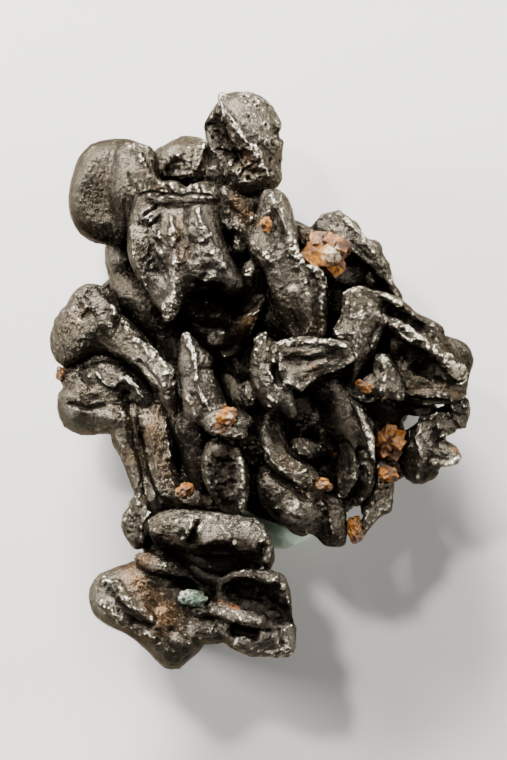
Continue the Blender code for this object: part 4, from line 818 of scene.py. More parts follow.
tooth = {
    "skin": {"scallop": 0.05, "swell": 0.14, "ledge": 0.03},
    "lumps": {
        "tooth": {
            "middle": (-7.0, 11.0, 15.6), "thick": 3.5, "edge": 3.0, "turn": 85,
            "outline": [
                (-10.2, 15.0), (-8.5, 15.4), (-6.6, 15.3), (-4.4, 15.2), (-3.7, 14.4), (-3.6, 12.9),
                (-3.2, 11.0), (-2.6, 9.6), (-1.9, 8.3), (-1.6, 7.2), (-2.4, 6.6), (-3.8, 7.0), (-5.0, 7.0),
                (-5.9, 6.8), (-6.6, 6.0), (-7.2, 5.0), (-7.8, 4.6), (-8.4, 5.6), (-9.1, 6.8), (-10.1, 8.0),
                (-10.8, 9.4), (-11.0, 11.2), (-10.7, 13.4),
            ],
        },
        "tooth crust": {
            "middle": (-7.0, 14.9, 17.2), "thick": 2.0, "edge": 2.6, "turn": 0,
            "outline": [
                (-10.4, 16.2), (-9.6, 16.7), (-8.6, 15.9), (-7.0, 15.8), (-6.1, 15.2), (-5.7, 15.6),
                (-4.6, 15.8), (-3.7, 15.3), (-3.7, 14.2), (-5.4, 13.7), (-7.2, 13.6), (-8.8, 13.8),
                (-10.0, 14.5),
            ],
        },
    },
    "marks": [
        ("groove", 0.11, 0.35, (-8.5, 14.5), (-7.6, 14.7), (-6.6, 14.5), (-5.6, 14.7), (-4.2, 14.6)),
        ("groove", 0.1, 0.3, (-7.8, 15.4), (-7.2, 14.7)),
        ("groove", 0.1, 0.3, (-5.2, 15.5), (-5.0, 14.7)),
        ("groove", 0.15, 0.35, (-9.7, 13.0), (-8.6, 13.7)),
        ("groove", 0.14, 0.3, (-9.2, 12.3), (-8.3, 13.0)),
        ("groove", 0.13, 0.3, (-10.0, 14.6), (-9.0, 14.9), (-8.0, 14.7)),
        ("ridge", 0.5, 0.4, (-7.4, 12.6), (-7.1, 10.0), (-7.2, 7.0), (-7.6, 5.2)),
        ("ridge", 0.42, 0.45, (-5.3, 13.2), (-4.9, 11.5), (-4.2, 10.3), (-3.4, 9.0)),
        ("groove", 0.45, 0.3, (-6.1, 13.0), (-6.0, 11.5), (-5.7, 9.6)),
        ("groove", 1.1, 0.75, (-9.2, 12.0), (-9.0, 10.4), (-8.4, 8.4)),
        ("ridge", 0.3, 0.25, (-10.5, 12.0), (-10.2, 9.5), (-9.2, 7.4), (-8.2, 5.8)),
        ("bright", 0.75, 1.0, (-10.0, 16.0), (-8.6, 15.2), (-6.6, 14.8), (-4.2, 14.9)),
        ("pale", 0.5, 0.45, (-9.2, 15.6), (-6.6, 15.0), (-4.4, 15.0)),
        ("bright", 0.6, 0.8, (-5.3, 13.0), (-4.6, 11.0), (-3.6, 9.4)),
        ("brown", 1.4, 0.5, (-7.0, 12.4), (-6.8, 10.0)),
        ("groove", 0.6, 0.35, (-4.6, 8.6), (-5.2, 7.4)),
        ("bright", 0.5, 0.8, (-7.4, 6.4), (-7.6, 5.2)),
        ("groove", 0.5, 0.5, (-6.0, 15.3)),
        ("dark", 0.8, 0.5, (-9.7, 10.6), (-9.0, 8.8)),
        ("dark", 0.5, 0.9, (-5.4, 7.8), (-3.6, 7.4)),
    ],
}
massPieces.append(buildPiece("tooth", tooth))

blockBehindTooth = {
    "skin": {"scallop": 0.1},
    "lumps": {
        "block behind the tooth": {
            "middle": (-6.9, 17.3, 8.4), "thick": 3.0, "edge": 2.6, "turn": 80,
            "outline": [
                (-9.4, 17.4), (-9.0, 18.4), (-8.0, 19.1), (-7.3, 19.4), (-6.0, 19.45), (-5.0, 19.2),
                (-4.4, 18.4), (-4.2, 17.0), (-4.6, 15.4), (-7.0, 15.0), (-9.2, 15.6),
            ],
        },
        "nub behind the tooth": [
            (-8.9, 16.3, 10.3, 0.7, 0.9), (-8.3, 16.7, 10.8, 0.9, 1.1), (-7.5, 17.1, 10.6, 0.6, 0.7),
        ],
    },
    "marks": [
        ("groove", 0.7, 0.7, (-7.1, 16.9)),
        ("bright", 0.8, 0.7, (-6.3, 18.7), (-5.4, 18.5)),
        ("ridge", 0.3, 0.3, (-5.0, 18.9), (-5.6, 17.0)),
    ],
}
massPieces.append(buildPiece("blockBehindTooth", blockBehindTooth))

neckAndBlade = {
    "skin": {"streak": 0.06},
    "lumps": {
        "under the neck": [
            (-1.7, 15.6, 11.6, 1.2, 1.5), (-0.5, 14.6, 12.0, 1.2, 1.5), (0.7, 13.2, 12.2, 1.0, 1.4),
        ],
        "neck": {
            "middle": (-2.0, 12.6, 12.4), "thick": 2.0, "edge": 2.4, "turn": -55,
            "outline": [
                (-3.7, 15.2), (-2.2, 15.6), (-0.8, 14.8), (-0.1, 13.0), (-0.1, 11.4), (-1.2, 10.2),
                (-2.2, 9.6), (-3.6, 10.0), (-3.9, 12.0),
            ],
        },
        "blade": {
            "middle": (1.8, 9.2, 16.4), "thick": 2.0, "edge": 3.2, "turn": -72,
            "outline": [
                (-0.4, 14.3), (0.0, 15.1), (1.0, 15.2), (1.8, 14.6), (2.2, 13.4), (2.35, 12.2), (2.5, 10.6),
                (2.8, 9.5), (3.4, 9.1), (4.4, 8.7), (4.85, 7.5), (4.95, 5.5), (4.95, 3.4), (4.2, 2.4),
                (2.6, 2.6), (1.9, 3.6), (1.3, 4.9), (0.7, 6.2), (0.3, 7.3), (-0.1, 8.6), (-0.9, 9.8),
                (-1.35, 11.0), (-0.9, 12.0),
            ],
        },
        "blade left bulge": [
            (-0.9, 12.2, 15.5, 0.5, 1.0), (-1.0, 11.0, 15.6, 0.65, 1.1), (-0.6, 9.7, 15.6, 0.5, 0.8),
        ],
        "blade left chip": [
            (-0.9, 9.4, 15.0, 0.4, 0.8), (-1.4, 8.5, 15.2, 0.55, 0.9), (-0.8, 7.3, 15.0, 0.4, 0.7),
        ],
        "blade root": [
            (0.6, 14.6, 13.6, 0.9, 1.8), (0.8, 12.4, 13.8, 1.1, 2.0), (1.5, 9.6, 14.0, 1.5, 2.4),
            (2.8, 6.6, 14.0, 1.5, 2.4), (3.6, 3.4, 13.8, 1.2, 2.2),
        ],
        "beside the neck": [
            (-2.0, 13.0, 11.4, 1.0, 1.4), (-0.9, 11.2, 12.0, 1.1, 1.6), (-0.2, 9.2, 12.4, 0.9, 1.4),
        ],
    },
    "marks": [
        ("ridge", 0.35, 0.22, (0.6, 14.4), (1.2, 13.4), (1.9, 11.2), (2.3, 10.0)),
        ("ridge", 0.25, 0.3, (2.5, 9.6), (3.2, 9.0), (4.3, 8.6), (4.8, 7.4)),
        ("groove", 0.55, 0.4, (3.9, 8.0), (4.2, 6.2), (4.3, 4.4)),
        ("ridge", 0.5, 0.2, (2.7, 9.0), (3.3, 7.6), (3.3, 6.2), (3.6, 5.2), (3.6, 4.0)),
        ("ridge", 0.9, 0.3, (0.3, 9.9)),
        ("groove", 0.8, 0.25, (0.7, 12.6), (1.2, 11.4)),
        ("bright", 0.5, 0.9, (-0.9, 11.4), (-0.6, 10.2)),
        ("groove", 0.85, 1.0, (-2.9, 10.9)),
        ("ridge", 0.5, 0.25, (-3.2, 15.0), (-2.2, 14.3), (-1.8, 13.6), (-1.0, 13.0)),
        ("brown", 1.0, 0.8, (-2.4, 14.0), (-1.2, 12.8)),
        ("bright", 0.45, 0.9, (4.2, 9.0), (4.6, 8.0), (4.8, 5.0)),
        ("pale", 0.6, 1.6, (2.2, 7.25)),
        ("ridge", 0.25, 0.2, (2.2, 7.25)),
        ("bright", 0.4, 0.8, (0.5, 9.8), (0.9, 9.2)),
        ("dark", 0.8, 0.6, (1.5, 7.6), (2.4, 5.8), (3.0, 4.2)),
        ("dark", 0.4, 0.6, (4.1, 7.8), (4.3, 6.4)),
        ("dark", 0.5, 0.5, (0.8, 12.4), (1.3, 11.2)),
    ],
}
massPieces.append(buildPiece("neckAndBlade", neckAndBlade))

upperRightSlab = {
    "skin": {"pitShare": 0.4},
    "lumps": {
        "upper right slab": {
            "middle": (7.1, 11.0, 11.4), "thick": 2.2, "edge": 2.6, "turn": -50,
            "outline": [
                (3.8, 12.3), (4.2, 13.0), (5.0, 13.5), (5.8, 13.7), (6.5, 13.2), (7.3, 12.5), (8.0, 11.5),
                (9.0, 11.2), (9.3, 10.6), (9.9, 9.2), (10.2, 8.2), (10.6, 7.4), (10.9, 6.9), (10.9, 6.2),
                (10.2, 6.5), (9.6, 7.4), (9.0, 8.0), (8.5, 8.7), (7.6, 9.3), (6.8, 10.0), (5.8, 10.3),
                (4.6, 10.9),
            ],
        },
        "upper right nub": [
            (7.9, 11.0, 12.4, 0.5, 1.2), (8.7, 10.7, 12.4, 0.65, 1.4), (9.4, 10.2, 12.2, 0.4, 1.0),
        ],
        "lump behind the grain": [
            (2.2, 12.1, 10.5, 0.7, 1.4), (3.2, 11.4, 10.8, 0.95, 1.6), (3.9, 10.0, 11.0, 0.9, 1.5),
        ],
        "slab hollow": [(3.4, 9.6, 10.6, 1.2, 1.8), (5.6, 8.6, 10.8, 1.5, 2.0), (8.2, 8.0, 10.8, 1.2, 1.8)],
    },
    "marks": [
        ("ridge", 0.35, 0.3, (4.6, 13.0), (6.0, 13.2), (7.2, 12.2), (8.0, 11.0), (9.2, 9.6), (10.0, 8.0)),
        ("bright", 0.9, 0.9, (4.8, 13.0), (6.4, 12.6), (7.6, 11.4)),
        ("bright", 0.4, 0.8, (9.4, 9.4), (9.9, 8.2), (10.7, 6.8)),
        ("groove", 0.3, 0.3, (7.0, 10.9), (8.2, 9.6)),
        ("groove", 0.4, 0.4, (5.8, 12.4)),
        ("brown", 0.9, 0.6, (3.3, 11.6)),
        ("dark", 0.8, 0.9, (6.6, 10.0), (8.0, 9.2), (9.2, 8.0)),
    ],
}
massPieces.append(buildPiece("upperRightSlab", upperRightSlab))

rightArm = {
    "lumps": {
        "saddle": {
            "middle": (7.6, 4.4, 16.8), "thick": 2.4, "edge": 2.6, "turn": 80,
            "outline": [
                (6.3, 6.8), (7.0, 7.2), (8.0, 7.1), (9.0, 6.7), (9.6, 5.6), (9.5, 4.5), (9.0, 3.0),
                (8.6, 2.0), (7.8, 0.9), (7.2, -0.1), (6.8, -1.0), (6.6, -0.2), (6.7, 1.6), (6.2, 2.8),
                (5.3, 3.5), (5.6, 4.1), (6.0, 5.0), (6.1, 6.1),
            ],
        },
        "behind the saddle": [
            (5.8, 0.4, 12.2, 0.9, 1.5), (7.6, 2.2, 12.4, 1.4, 1.8), (9.4, 3.4, 12.4, 1.3, 1.7),
            (10.8, 3.2, 12.2, 1.0, 1.4),
        ],
        "behind the foot plate": [
            (4.6, 1.4, 12.2, 1.0, 1.5), (6.0, 0.4, 12.4, 1.2, 1.6), (7.4, -0.6, 12.2, 1.1, 1.5),
        ],
        "beside the right grain": [
            (7.6, -1.6, 12.0, 1.0, 1.5), (8.4, -3.2, 12.2, 1.1, 1.5), (8.6, -4.8, 12.0, 0.7, 1.2),
        ],
        "saddle band": [
            (6.1, 6.1, 16.2, 0.4, 0.8), (7.4, 6.95, 16.6, 0.5, 0.9), (9.0, 6.6, 16.4, 0.5, 1.0),
            (10.5, 6.0, 15.8, 0.5, 1.1), (11.6, 5.1, 15.2, 0.5, 1.0), (12.9, 4.45, 14.8, 0.45, 0.9),
            (14.3, 3.9, 14.4, 0.4, 0.6),
        ],
        "arm crest": [
            (9.1, 4.7, 15.8, 0.7, 1.2), (10.8, 4.1, 15.8, 0.8, 1.3), (12.4, 3.2, 15.7, 0.8, 1.4),
            (13.7, 2.2, 15.6, 0.85, 1.5), (14.8, 1.2, 15.4, 0.85, 1.4), (15.7, -0.2, 15.0, 0.6, 1.1),
        ],
        "arm face": {
            "middle": (12.6, 1.6, 14.0), "thick": 1.9, "edge": 3.0, "turn": -30,
            "outline": [
                (9.4, 6.2), (10.2, 6.2), (11.3, 5.3), (12.4, 4.8), (13.5, 4.4), (14.1, 3.9), (14.5, 3.3),
                (15.2, 3.0), (16.0, 2.8), (16.4, 2.1), (16.5, 1.2), (16.3, 0.2), (16.1, -1.2), (15.4, -1.8),
                (14.3, -1.8), (13.2, -2.1), (12.0, -2.0), (10.9, -1.5), (10.2, 0.0), (9.8, 1.6), (9.3, 3.0),
                (9.2, 4.6),
            ],
        },
        "arm end knob": [
            (14.1, 3.2, 14.0, 0.6, 0.9), (15.2, 2.4, 14.0, 1.05, 1.3), (15.9, 1.5, 13.8, 0.85, 1.1),
            (16.0, 0.4, 13.6, 0.5, 0.8),
        ],
        "arm shelf": [
            (10.9, -1.0, 14.2, 0.5, 1.0), (12.6, -1.3, 14.6, 0.8, 1.2), (14.2, -1.3, 14.6, 0.75, 1.2),
            (15.9, -1.3, 14.2, 0.5, 0.9),
        ],
    },
    "marks": [
        (
            "ridge", 0.6, 0.35, (9.8, 4.7), (11.0, 4.3), (12.0, 3.6), (13.0, 2.7), (14.0, 1.9), (15.0, 1.2),
            (15.6, 0.3)),
        ("groove", 0.5, 0.5, (9.6, 5.6), (10.8, 5.1), (12.0, 4.2), (13.3, 3.4)),
        ("groove", 1.0, 0.6, (11.4, 1.7), (12.8, 1.0)),
        ("bright", 1.2, 0.9, (7.0, 5.8), (7.6, 4.6), (7.6, 3.4)),
        ("bright", 0.6, 1.0, (14.6, 1.7), (15.3, 0.6)),
        ("bright", 0.3, 0.8, (10.2, 5.9), (12.4, 4.7), (14.0, 4.0)),
        ("ridge", 0.3, 0.3, (6.5, 6.9), (7.8, 7.1), (9.4, 6.7), (10.6, 6.0)),
        ("groove", 0.22, 0.18, (6.8, 6.4), (8.0, 6.4)),
        ("brown", 0.5, 0.6, (12.8, -0.5), (12.2, -0.4)),
        ("groove", 0.3, 0.3, (12.4, 0.6), (14.0, -0.2)),
        ("groove", 0.25, 0.4, (11.4, -1.5), (13.0, -1.7), (14.6, -1.7)),
        ("ridge", 0.3, 0.25, (5.8, 5.4), (5.6, 4.0), (6.6, 2.6)),
        ("groove", 0.35, 0.4, (9.0, 4.2), (8.4, 3.0)),
        ("pale", 0.55, 1.0, (14.6, 1.7), (15.1, 0.6)),
        ("pale", 0.4, 0.8, (12.8, -0.5)),
        ("pale", 0.5, 0.8, (8.4, 5.6), (9.2, 5.1)),
        ("dark", 0.4, 0.9, (9.9, 5.5), (11.0, 4.95), (12.4, 4.2)),
        ("dark", 1.0, 0.8, (10.8, 2.0), (12.2, 1.2)),
        ("dark", 0.35, 0.8, (11.6, -1.5), (14.4, -1.7)),
        ("dark", 0.5, 0.6, (7.4, 1.4), (8.6, 2.2)),
    ],
}
massPieces.append(buildPiece("rightArm", rightArm))

wedge = {
    "skin": {"scallop": 0.1},
    "lumps": {
        "wedge": {
            "middle": (9.0, 0.0, 16.4), "thick": 1.5, "edge": 2.6, "turn": 60,
            "outline": [
                (8.9, 2.1), (9.8, 2.1), (10.4, 1.0), (10.9, 0.0), (11.1, -0.9), (10.8, -1.6), (10.0, -1.5),
                (9.0, -1.3), (8.0, -1.6), (7.0, -1.4), (6.5, -0.9), (6.4, -0.3), (7.6, 0.2), (8.3, 1.0),
            ],
        },
        "wedge floor": [
            (7.3, -0.2, 15.6, 0.7, 0.9), (8.4, -0.3, 15.8, 0.9, 1.0), (9.4, -0.4, 15.8, 0.8, 0.9),
        ],
        "under the wedge": [
            (6.2, 2.6, 13.0, 1.4, 1.6), (8.2, 1.0, 13.2, 1.9, 2.0), (9.6, -1.5, 12.6, 1.7, 2.0),
            (10.2, -4.0, 11.8, 1.3, 1.8),
        ],
        "lump under the shelf": [
            (10.7, -1.9, 12.6, 0.7, 1.0), (11.8, -2.35, 12.9, 0.7, 1.1), (12.9, -2.4, 12.8, 0.6, 0.8),
            (13.9, -2.2, 12.8, 0.45, 0.6),
        ],
    },
    "marks": [
        ("groove", 0.45, 0.6, (8.1, 0.9)),
        ("ridge", 0.5, 0.25, (8.9, 1.9), (9.5, 0.7), (9.2, -0.8)),
        ("ridge", 0.22, 0.25, (6.6, -0.9), (8.0, -1.5), (9.6, -1.2)),
        ("rust", 0.4, 1.0, (7.9, -0.6)),
        ("bright", 0.4, 0.9, (7.2, -0.8), (8.2, -1.3)),
        ("bright", 0.4, 0.7, (9.4, 1.4), (10.2, 0.0)),
        ("dark", 0.4, 0.9, (8.1, 1.1), (8.6, 0.4)),
    ],
}
massPieces.append(buildPiece("wedge", wedge))

rightKnob = {
    "skin": {"scallop": 0.1},
    "lumps": {
        "right knob": {
            "middle": (12.9, -5.4, 12.2), "thick": 2.2, "edge": 2.5, "turn": 75,
            "outline": [
                (13.0, -2.75), (13.9, -2.15), (14.9, -2.35), (15.6, -3.2), (15.3, -4.0), (14.5, -4.2),
                (14.5, -4.9), (15.2, -5.2), (15.6, -6.0), (15.3, -6.8), (14.2, -6.9), (13.9, -7.8),
                (12.9, -8.35), (11.7, -8.1), (10.9, -7.2), (10.9, -5.7), (11.3, -4.2), (12.0, -3.6),
            ],
        },
        "right knob hook": [
            (14.3, -1.4, 13.0, 0.6, 0.9), (15.1, -1.9, 13.3, 0.6, 0.8), (15.6, -2.9, 13.2, 0.5, 0.7),
            (15.9, -3.9, 12.8, 0.3, 0.5),
        ],
        "right knob root": [
            (10.4, -2.6, 11.0, 0.7, 1.3), (10.7, -5.0, 11.0, 0.7, 1.7), (11.4, -7.0, 11.0, 0.7, 1.5),
        ],
        "right claw": [
            (15.7, -1.2, 13.8, 0.4, 0.6), (16.05, -2.4, 13.4, 0.36, 0.5), (15.8, -3.6, 13.1, 0.34, 0.45),
        ],
    },
    "marks": [
        ("ridge", 0.3, 0.3, (12.6, -3.2), (12.2, -4.6), (12.6, -6.2), (12.2, -7.6)),
        ("groove", 0.4, 0.4, (13.4, -4.2), (13.8, -5.2)),
        ("ridge", 0.3, 0.3, (13.4, -6.6), (14.6, -6.6), (15.3, -6.2)),
        ("rust", 0.4, 0.4, (15.3, -5.8)),
        ("bright", 0.6, 0.7, (12.4, -3.8), (13.2, -3.4)),
        ("ridge", 0.3, 0.3, (12.9, -3.2), (13.9, -2.8), (14.9, -3.0), (15.6, -3.6)),
        ("rust", 0.35, 0.9, (15.1, -5.5), (15.4, -6.1)),
        ("dark", 0.7, 0.5, (13.6, -4.6), (13.9, -5.8)),
    ],
}
massPieces.append(buildPiece("rightKnob", rightKnob))

footPlate = {
    "skin": {"scallop": 0.03, "swell": 0.1},
    "lumps": {
        "foot plate": {
            "middle": (3.2, 1.6, 19.2), "thick": 1.5, "edge": 4.0, "turn": 0,
            "outline": [
                (0.4, 1.7), (0.7, 2.6), (1.9, 3.15), (3.6, 3.3), (5.9, 3.15), (6.8, 2.6), (7.05, 1.9),
                (6.4, 1.2), (5.0, 0.7), (4.0, 0.3), (3.4, -0.4), (2.7, -0.7), (1.8, -0.4), (1.5, 0.5),
                (0.8, 1.1),
            ],
        },
        "foot leg": {
            "middle": (0.4, 0.3, 17.9), "thick": 1.7, "edge": 2.6, "turn": 80,
            "outline": [
                (-0.4, 3.7), (-1.0, 2.3), (-1.2, 1.0), (-1.1, -0.5), (-0.6, -1.5), (0.0, -2.3), (0.6, -2.6),
                (1.2, -2.4), (1.6, -2.9), (2.2, -3.2), (2.6, -2.6), (2.2, -1.0), (2.0, 0.2), (1.4, 1.6),
                (0.6, 3.2),
            ],
        },
    },
    "marks": [
        ("ridge", 0.3, 0.3, (0.3, 2.4), (1.2, 2.9), (3.0, 3.1), (5.0, 2.9), (6.2, 2.6)),
        ("ridge", 0.22, 0.28, (0.7, 1.6), (1.7, 0.0), (2.8, -0.5), (3.8, 0.3), (5.2, 0.8), (6.8, 1.7)),
        ("groove", 0.8, 0.35, (1.9, 1.6), (3.4, 1.5), (5.2, 1.9)),
        ("bright", 0.3, 1.0, (0.6, 2.4), (1.9, 3.0), (3.6, 3.1), (5.8, 3.0), (6.9, 2.2)),
        ("bright", 0.2, 0.8, (0.7, 1.4), (1.7, 0.0), (2.8, -0.5), (5.2, 0.8)),
        ("brown", 0.6, 0.8, (3.8, 0.9)),
        ("groove", 0.3, 0.6, (0.8, 2.4), (0.9, 1.0), (1.1, -0.2)),
        ("ridge", 0.55, 0.3, (-0.4, 3.2), (-0.3, 1.6), (0.0, 0.0), (0.5, -1.6)),
        ("bright", 0.4, 0.7, (-0.6, 2.8), (-0.5, 0.6)),
        ("dark", 0.8, 0.8, (2.2, 1.5), (4.2, 1.8), (6.0, 2.0)),
        ("dark", 0.7, 0.6, (2.8, 0.4), (4.2, 0.8)),
    ],
}
massPieces.append(buildPiece("footPlate", footPlate))

longBand = {
    "skin": {"streak": 0.07},
    "lumps": {
        "long band": [
            (4.6, 0.8, 13.2, 1.4, 1.4), (5.5, -1.4, 13.7, 1.8, 1.6), (6.4, -3.4, 14.1, 1.8, 1.6),
            (7.3, -5.2, 14.4, 1.3, 1.5), (7.95, -7.0, 14.4, 0.95, 1.3), (7.8, -8.6, 14.2, 0.8, 1.1),
            (7.1, -10.0, 14.0, 0.5, 0.8),
        ],
        "long band rim": [
            (6.9, -1.4, 15.4, 0.32, 0.4), (7.7, -3.0, 15.7, 0.32, 0.4), (8.35, -4.4, 15.8, 0.32, 0.4),
            (8.7, -6.2, 15.6, 0.3, 0.4),
        ],
        "crescent": [
            (6.1, -4.8, 15.6, 0.5, 0.7), (6.7, -6.2, 16.2, 0.8, 1.0), (6.6, -7.6, 16.4, 0.95, 1.1),
            (5.9, -9.3, 16.0, 0.6, 0.8),
        ],
        "dark hollow": [
            (3.0, -1.2, 11.4, 1.4, 2.0), (3.6, -3.6, 11.2, 2.0, 2.2), (4.6, -5.8, 11.0, 2.2, 2.2),
            (5.6, -8.2, 11.2, 1.8, 2.0), (5.8, -10.8, 11.4, 1.2, 1.6),
        ],
    },
    "marks": [
        ("bright", 0.3, 0.8, (7.1, -1.8), (8.2, -3.8), (8.6, -6.0), (8.5, -8.0)),
        ("bright", 0.6, 0.9, (6.6, -5.6), (6.9, -7.2), (6.5, -8.6)),
        ("groove", 0.4, 0.5, (7.6, -5.6), (7.8, -7.2)),
        ("rust", 0.5, 0.9, (5.4, -5.8)),
        ("rust", 0.4, 0.8, (4.7, -8.3)),
        ("ridge", 0.25, 0.3, (7.0, -1.6), (7.7, -3.0), (8.4, -4.8), (8.6, -6.5)),
        ("dark", 1.5, 1.0, (4.6, -1.4), (5.2, -3.2), (5.8, -4.8), (6.2, -6.4)),
        ("dark", 1.3, 1.0, (3.0, -1.4), (3.3, -3.4), (3.8, -5.0)),
        ("dark", 0.5, 0.6, (7.5, -5.4), (7.7, -7.4)),
    ],
}
massPieces.append(buildPiece("longBand", longBand))

wormAndBud = {
    "skin": {"scallop": 0.1},
    "lumps": {
        "bent worm": [
            (1.0, -2.2, 14.6, 0.9, 1.2), (0.6, -4.2, 15.4, 1.3, 1.6), (0.9, -5.9, 15.7, 1.2, 1.5),
            (2.1, -7.0, 15.8, 1.1, 1.4), (3.3, -7.9, 15.7, 1.1, 1.4), (3.9, -9.0, 15.3, 1.1, 1.4),
            (4.0, -10.4, 14.8, 0.9, 1.2),
        ],
        "worm apron": {
            "middle": (2.0, -9.2, 14.4), "thick": 1.9, "edge": 2.6, "turn": -50,
            "outline": [
                (-0.9, -8.2), (-0.6, -9.4), (0.4, -10.7), (1.5, -11.7), (3.0, -12.3), (4.4, -12.0),
                (5.0, -10.6), (4.8, -8.8), (3.8, -7.2), (2.4, -6.4), (0.8, -6.3), (-0.4, -7.0),
            ],
        },
        "worm shoulder": [
            (2.0, -5.2, 13.6, 0.8, 1.1), (3.6, -5.6, 13.8, 0.85, 1.1), (5.1, -5.7, 13.8, 0.6, 0.9),
        ],
        "bud": [(1.5, -10.5, 16.2, 1.0, 1.3), (2.6, -10.4, 16.7, 1.2, 1.6), (3.7, -10.5, 16.2, 0.9, 1.2)],
        "bud stalk": [
            (0.2, -8.0, 13.0, 1.1, 1.5), (1.6, -9.6, 13.4, 1.3, 1.7), (2.6, -11.0, 13.8, 1.2, 1.7),
            (3.3, -12.4, 13.4, 0.8, 1.2),
        ],
        "dark lump": {
            "middle": (5.1, -11.2, 13.8), "thick": 1.8, "edge": 2.4, "turn": 70,
            "outline": [
                (4.0, -9.4), (5.0, -9.0), (6.2, -9.4), (6.6, -11.0), (6.6, -12.6), (6.2, -13.3),
                (5.0, -13.3), (4.3, -12.9), (3.6, -12.0), (3.8, -10.6),
            ],
        },
    },
    "marks": [
        ("bright", 0.3, 0.7, (0.3, -4.9)),
        ("bright", 0.7, 1.0, (1.0, -6.4), (2.2, -7.2), (3.4, -7.8)),
        ("bright", 0.9, 0.6, (1.6, -8.6), (3.4, -9.6)),
        ("groove", 0.3, 0.3, (0.6, -7.6), (2.0, -8.6), (3.0, -9.4)),
        ("ridge", 0.5, 0.35, (2.4, -10.4)),
        ("bright", 0.9, 1.0, (2.4, -10.4)),
        ("groove", 0.25, 0.3, (1.8, -8.2), (3.2, -8.8)),
        ("groove", 0.3, 0.4, (-0.3, -5.6), (0.2, -6.4)),
        ("ridge", 0.3, 0.3, (4.4, -9.8), (5.2, -10.6), (5.4, -12.0)),
        ("dark", 0.9, 0.85, (0.5, -3.4), (0.9, -4.6)),
        ("dark", 0.8, 0.6, (4.8, -10.6), (5.2, -12.2)),
        ("dark", 0.5, 0.7, (0.2, -8.8), (1.0, -10.6)),
    ],
}
massPieces.append(buildPiece("wormAndBud", wormAndBud))

fin = {
    "skin": {"scallop": 0.1},
    "lumps": {
        "fin": {
            "middle": (9.2, -9.0, 12.9), "thick": 1.4, "edge": 2.8, "turn": 70,
            "outline": [
                (9.6, -6.2), (10.4, -7.3), (10.4, -8.8), (10.2, -9.5), (10.0, -10.4), (9.4, -10.7),
                (8.6, -11.5), (8.0, -12.3), (7.5, -13.0), (7.4, -12.2), (7.9, -10.8), (8.0, -9.2),
                (8.4, -7.6), (8.7, -6.2),
            ],
        },
        "under the fin": [
            (8.4, -5.2, 11.2, 1.1, 1.6), (8.9, -7.4, 11.4, 1.4, 1.6), (8.7, -9.2, 11.4, 1.3, 1.5),
            (8.2, -11.0, 11.4, 0.8, 1.2),
        ],
    },
    "marks": [
        ("rust", 0.7, 0.7, (10.0, -6.0), (9.6, -7.8)),
        ("groove", 0.4, 0.7, (7.3, -10.3), (7.2, -9.8)),
        ("bright", 0.4, 0.7, (9.9, -8.6), (9.6, -10.2), (8.6, -11.4)),
        ("rust", 0.45, 0.8, (7.4, -9.5), (7.2, -11.2)),
    ],
}
massPieces.append(buildPiece("fin", fin))

column = {
    "skin": {"scallop": 0.1},
    "lumps": {
        "column top": {
            "middle": (-5.5, 1.5, 16.6), "thick": 1.5, "edge": 2.6, "turn": 65,
            "outline": [
                (-6.7, 3.2), (-6.4, 3.7), (-5.6, 3.4), (-4.9, 2.6), (-4.2, 2.0), (-4.1, 0.9), (-4.6, 0.3),
                (-5.0, -0.6), (-6.3, -0.6), (-6.7, 0.2), (-6.9, 1.4),
            ],
        },
        "column foot": {
            "middle": (-5.0, -1.2, 16.6), "thick": 1.6, "edge": 2.6, "turn": 110,
            "outline": [
                (-6.6, 1.0), (-5.6, 1.5), (-4.5, 1.1), (-4.0, 0.1), (-3.4, -1.2), (-3.0, -2.3),
                (-3.4, -3.2), (-4.1, -3.5), (-5.5, -3.5), (-6.4, -2.7), (-6.6, -1.2),
            ],
        },
        "grain seat": {
            "middle": (-2.9, -3.4, 17.4), "thick": 1.5, "edge": 2.6, "turn": 0,
            "outline": [
                (-4.1, -2.5), (-3.0, -2.2), (-2.0, -2.4), (-1.2, -2.8), (-0.8, -3.3), (-1.3, -4.0),
                (-1.5, -4.7), (-3.0, -4.6), (-4.4, -4.3), (-4.9, -3.4),
            ],
        },
        "under the column": [
            (-7.4, 1.6, 12.0, 1.0, 1.6), (-7.0, -0.6, 12.2, 1.4, 2.0), (-6.4, -3.0, 12.2, 1.5, 2.2),
            (-5.6, -5.6, 12.0, 1.4, 2.0), (-5.0, -9.2, 12.0, 1.3, 1.8),
        ],
    },
    "marks": [
        ("bright", 0.7, 0.9, (-5.0, 1.8), (-4.8, 0.8)),
        ("ridge", 0.3, 0.35, (-6.2, 3.4), (-5.6, 2.0), (-5.4, 0.2)),
        ("ridge", 0.25, 0.3, (-5.4, 0.2), (-5.0, -1.2), (-4.4, -2.4)),
        ("bright", 0.7, 0.9, (-4.8, -1.4), (-4.2, -2.4)),
        ("bright", 0.9, 1.2, (-2.5, -3.6), (-3.4, -4.1)),
        ("pale", 0.35, 0.8, (-2.6, -3.7)),
        ("rust", 0.8, 0.9, (-3.0, -2.6), (-3.6, -3.6)),
        ("ridge", 0.3, 0.3, (-6.1, -1.4), (-5.4, -2.8)),
    ],
}
massPieces.append(buildPiece("column", column))

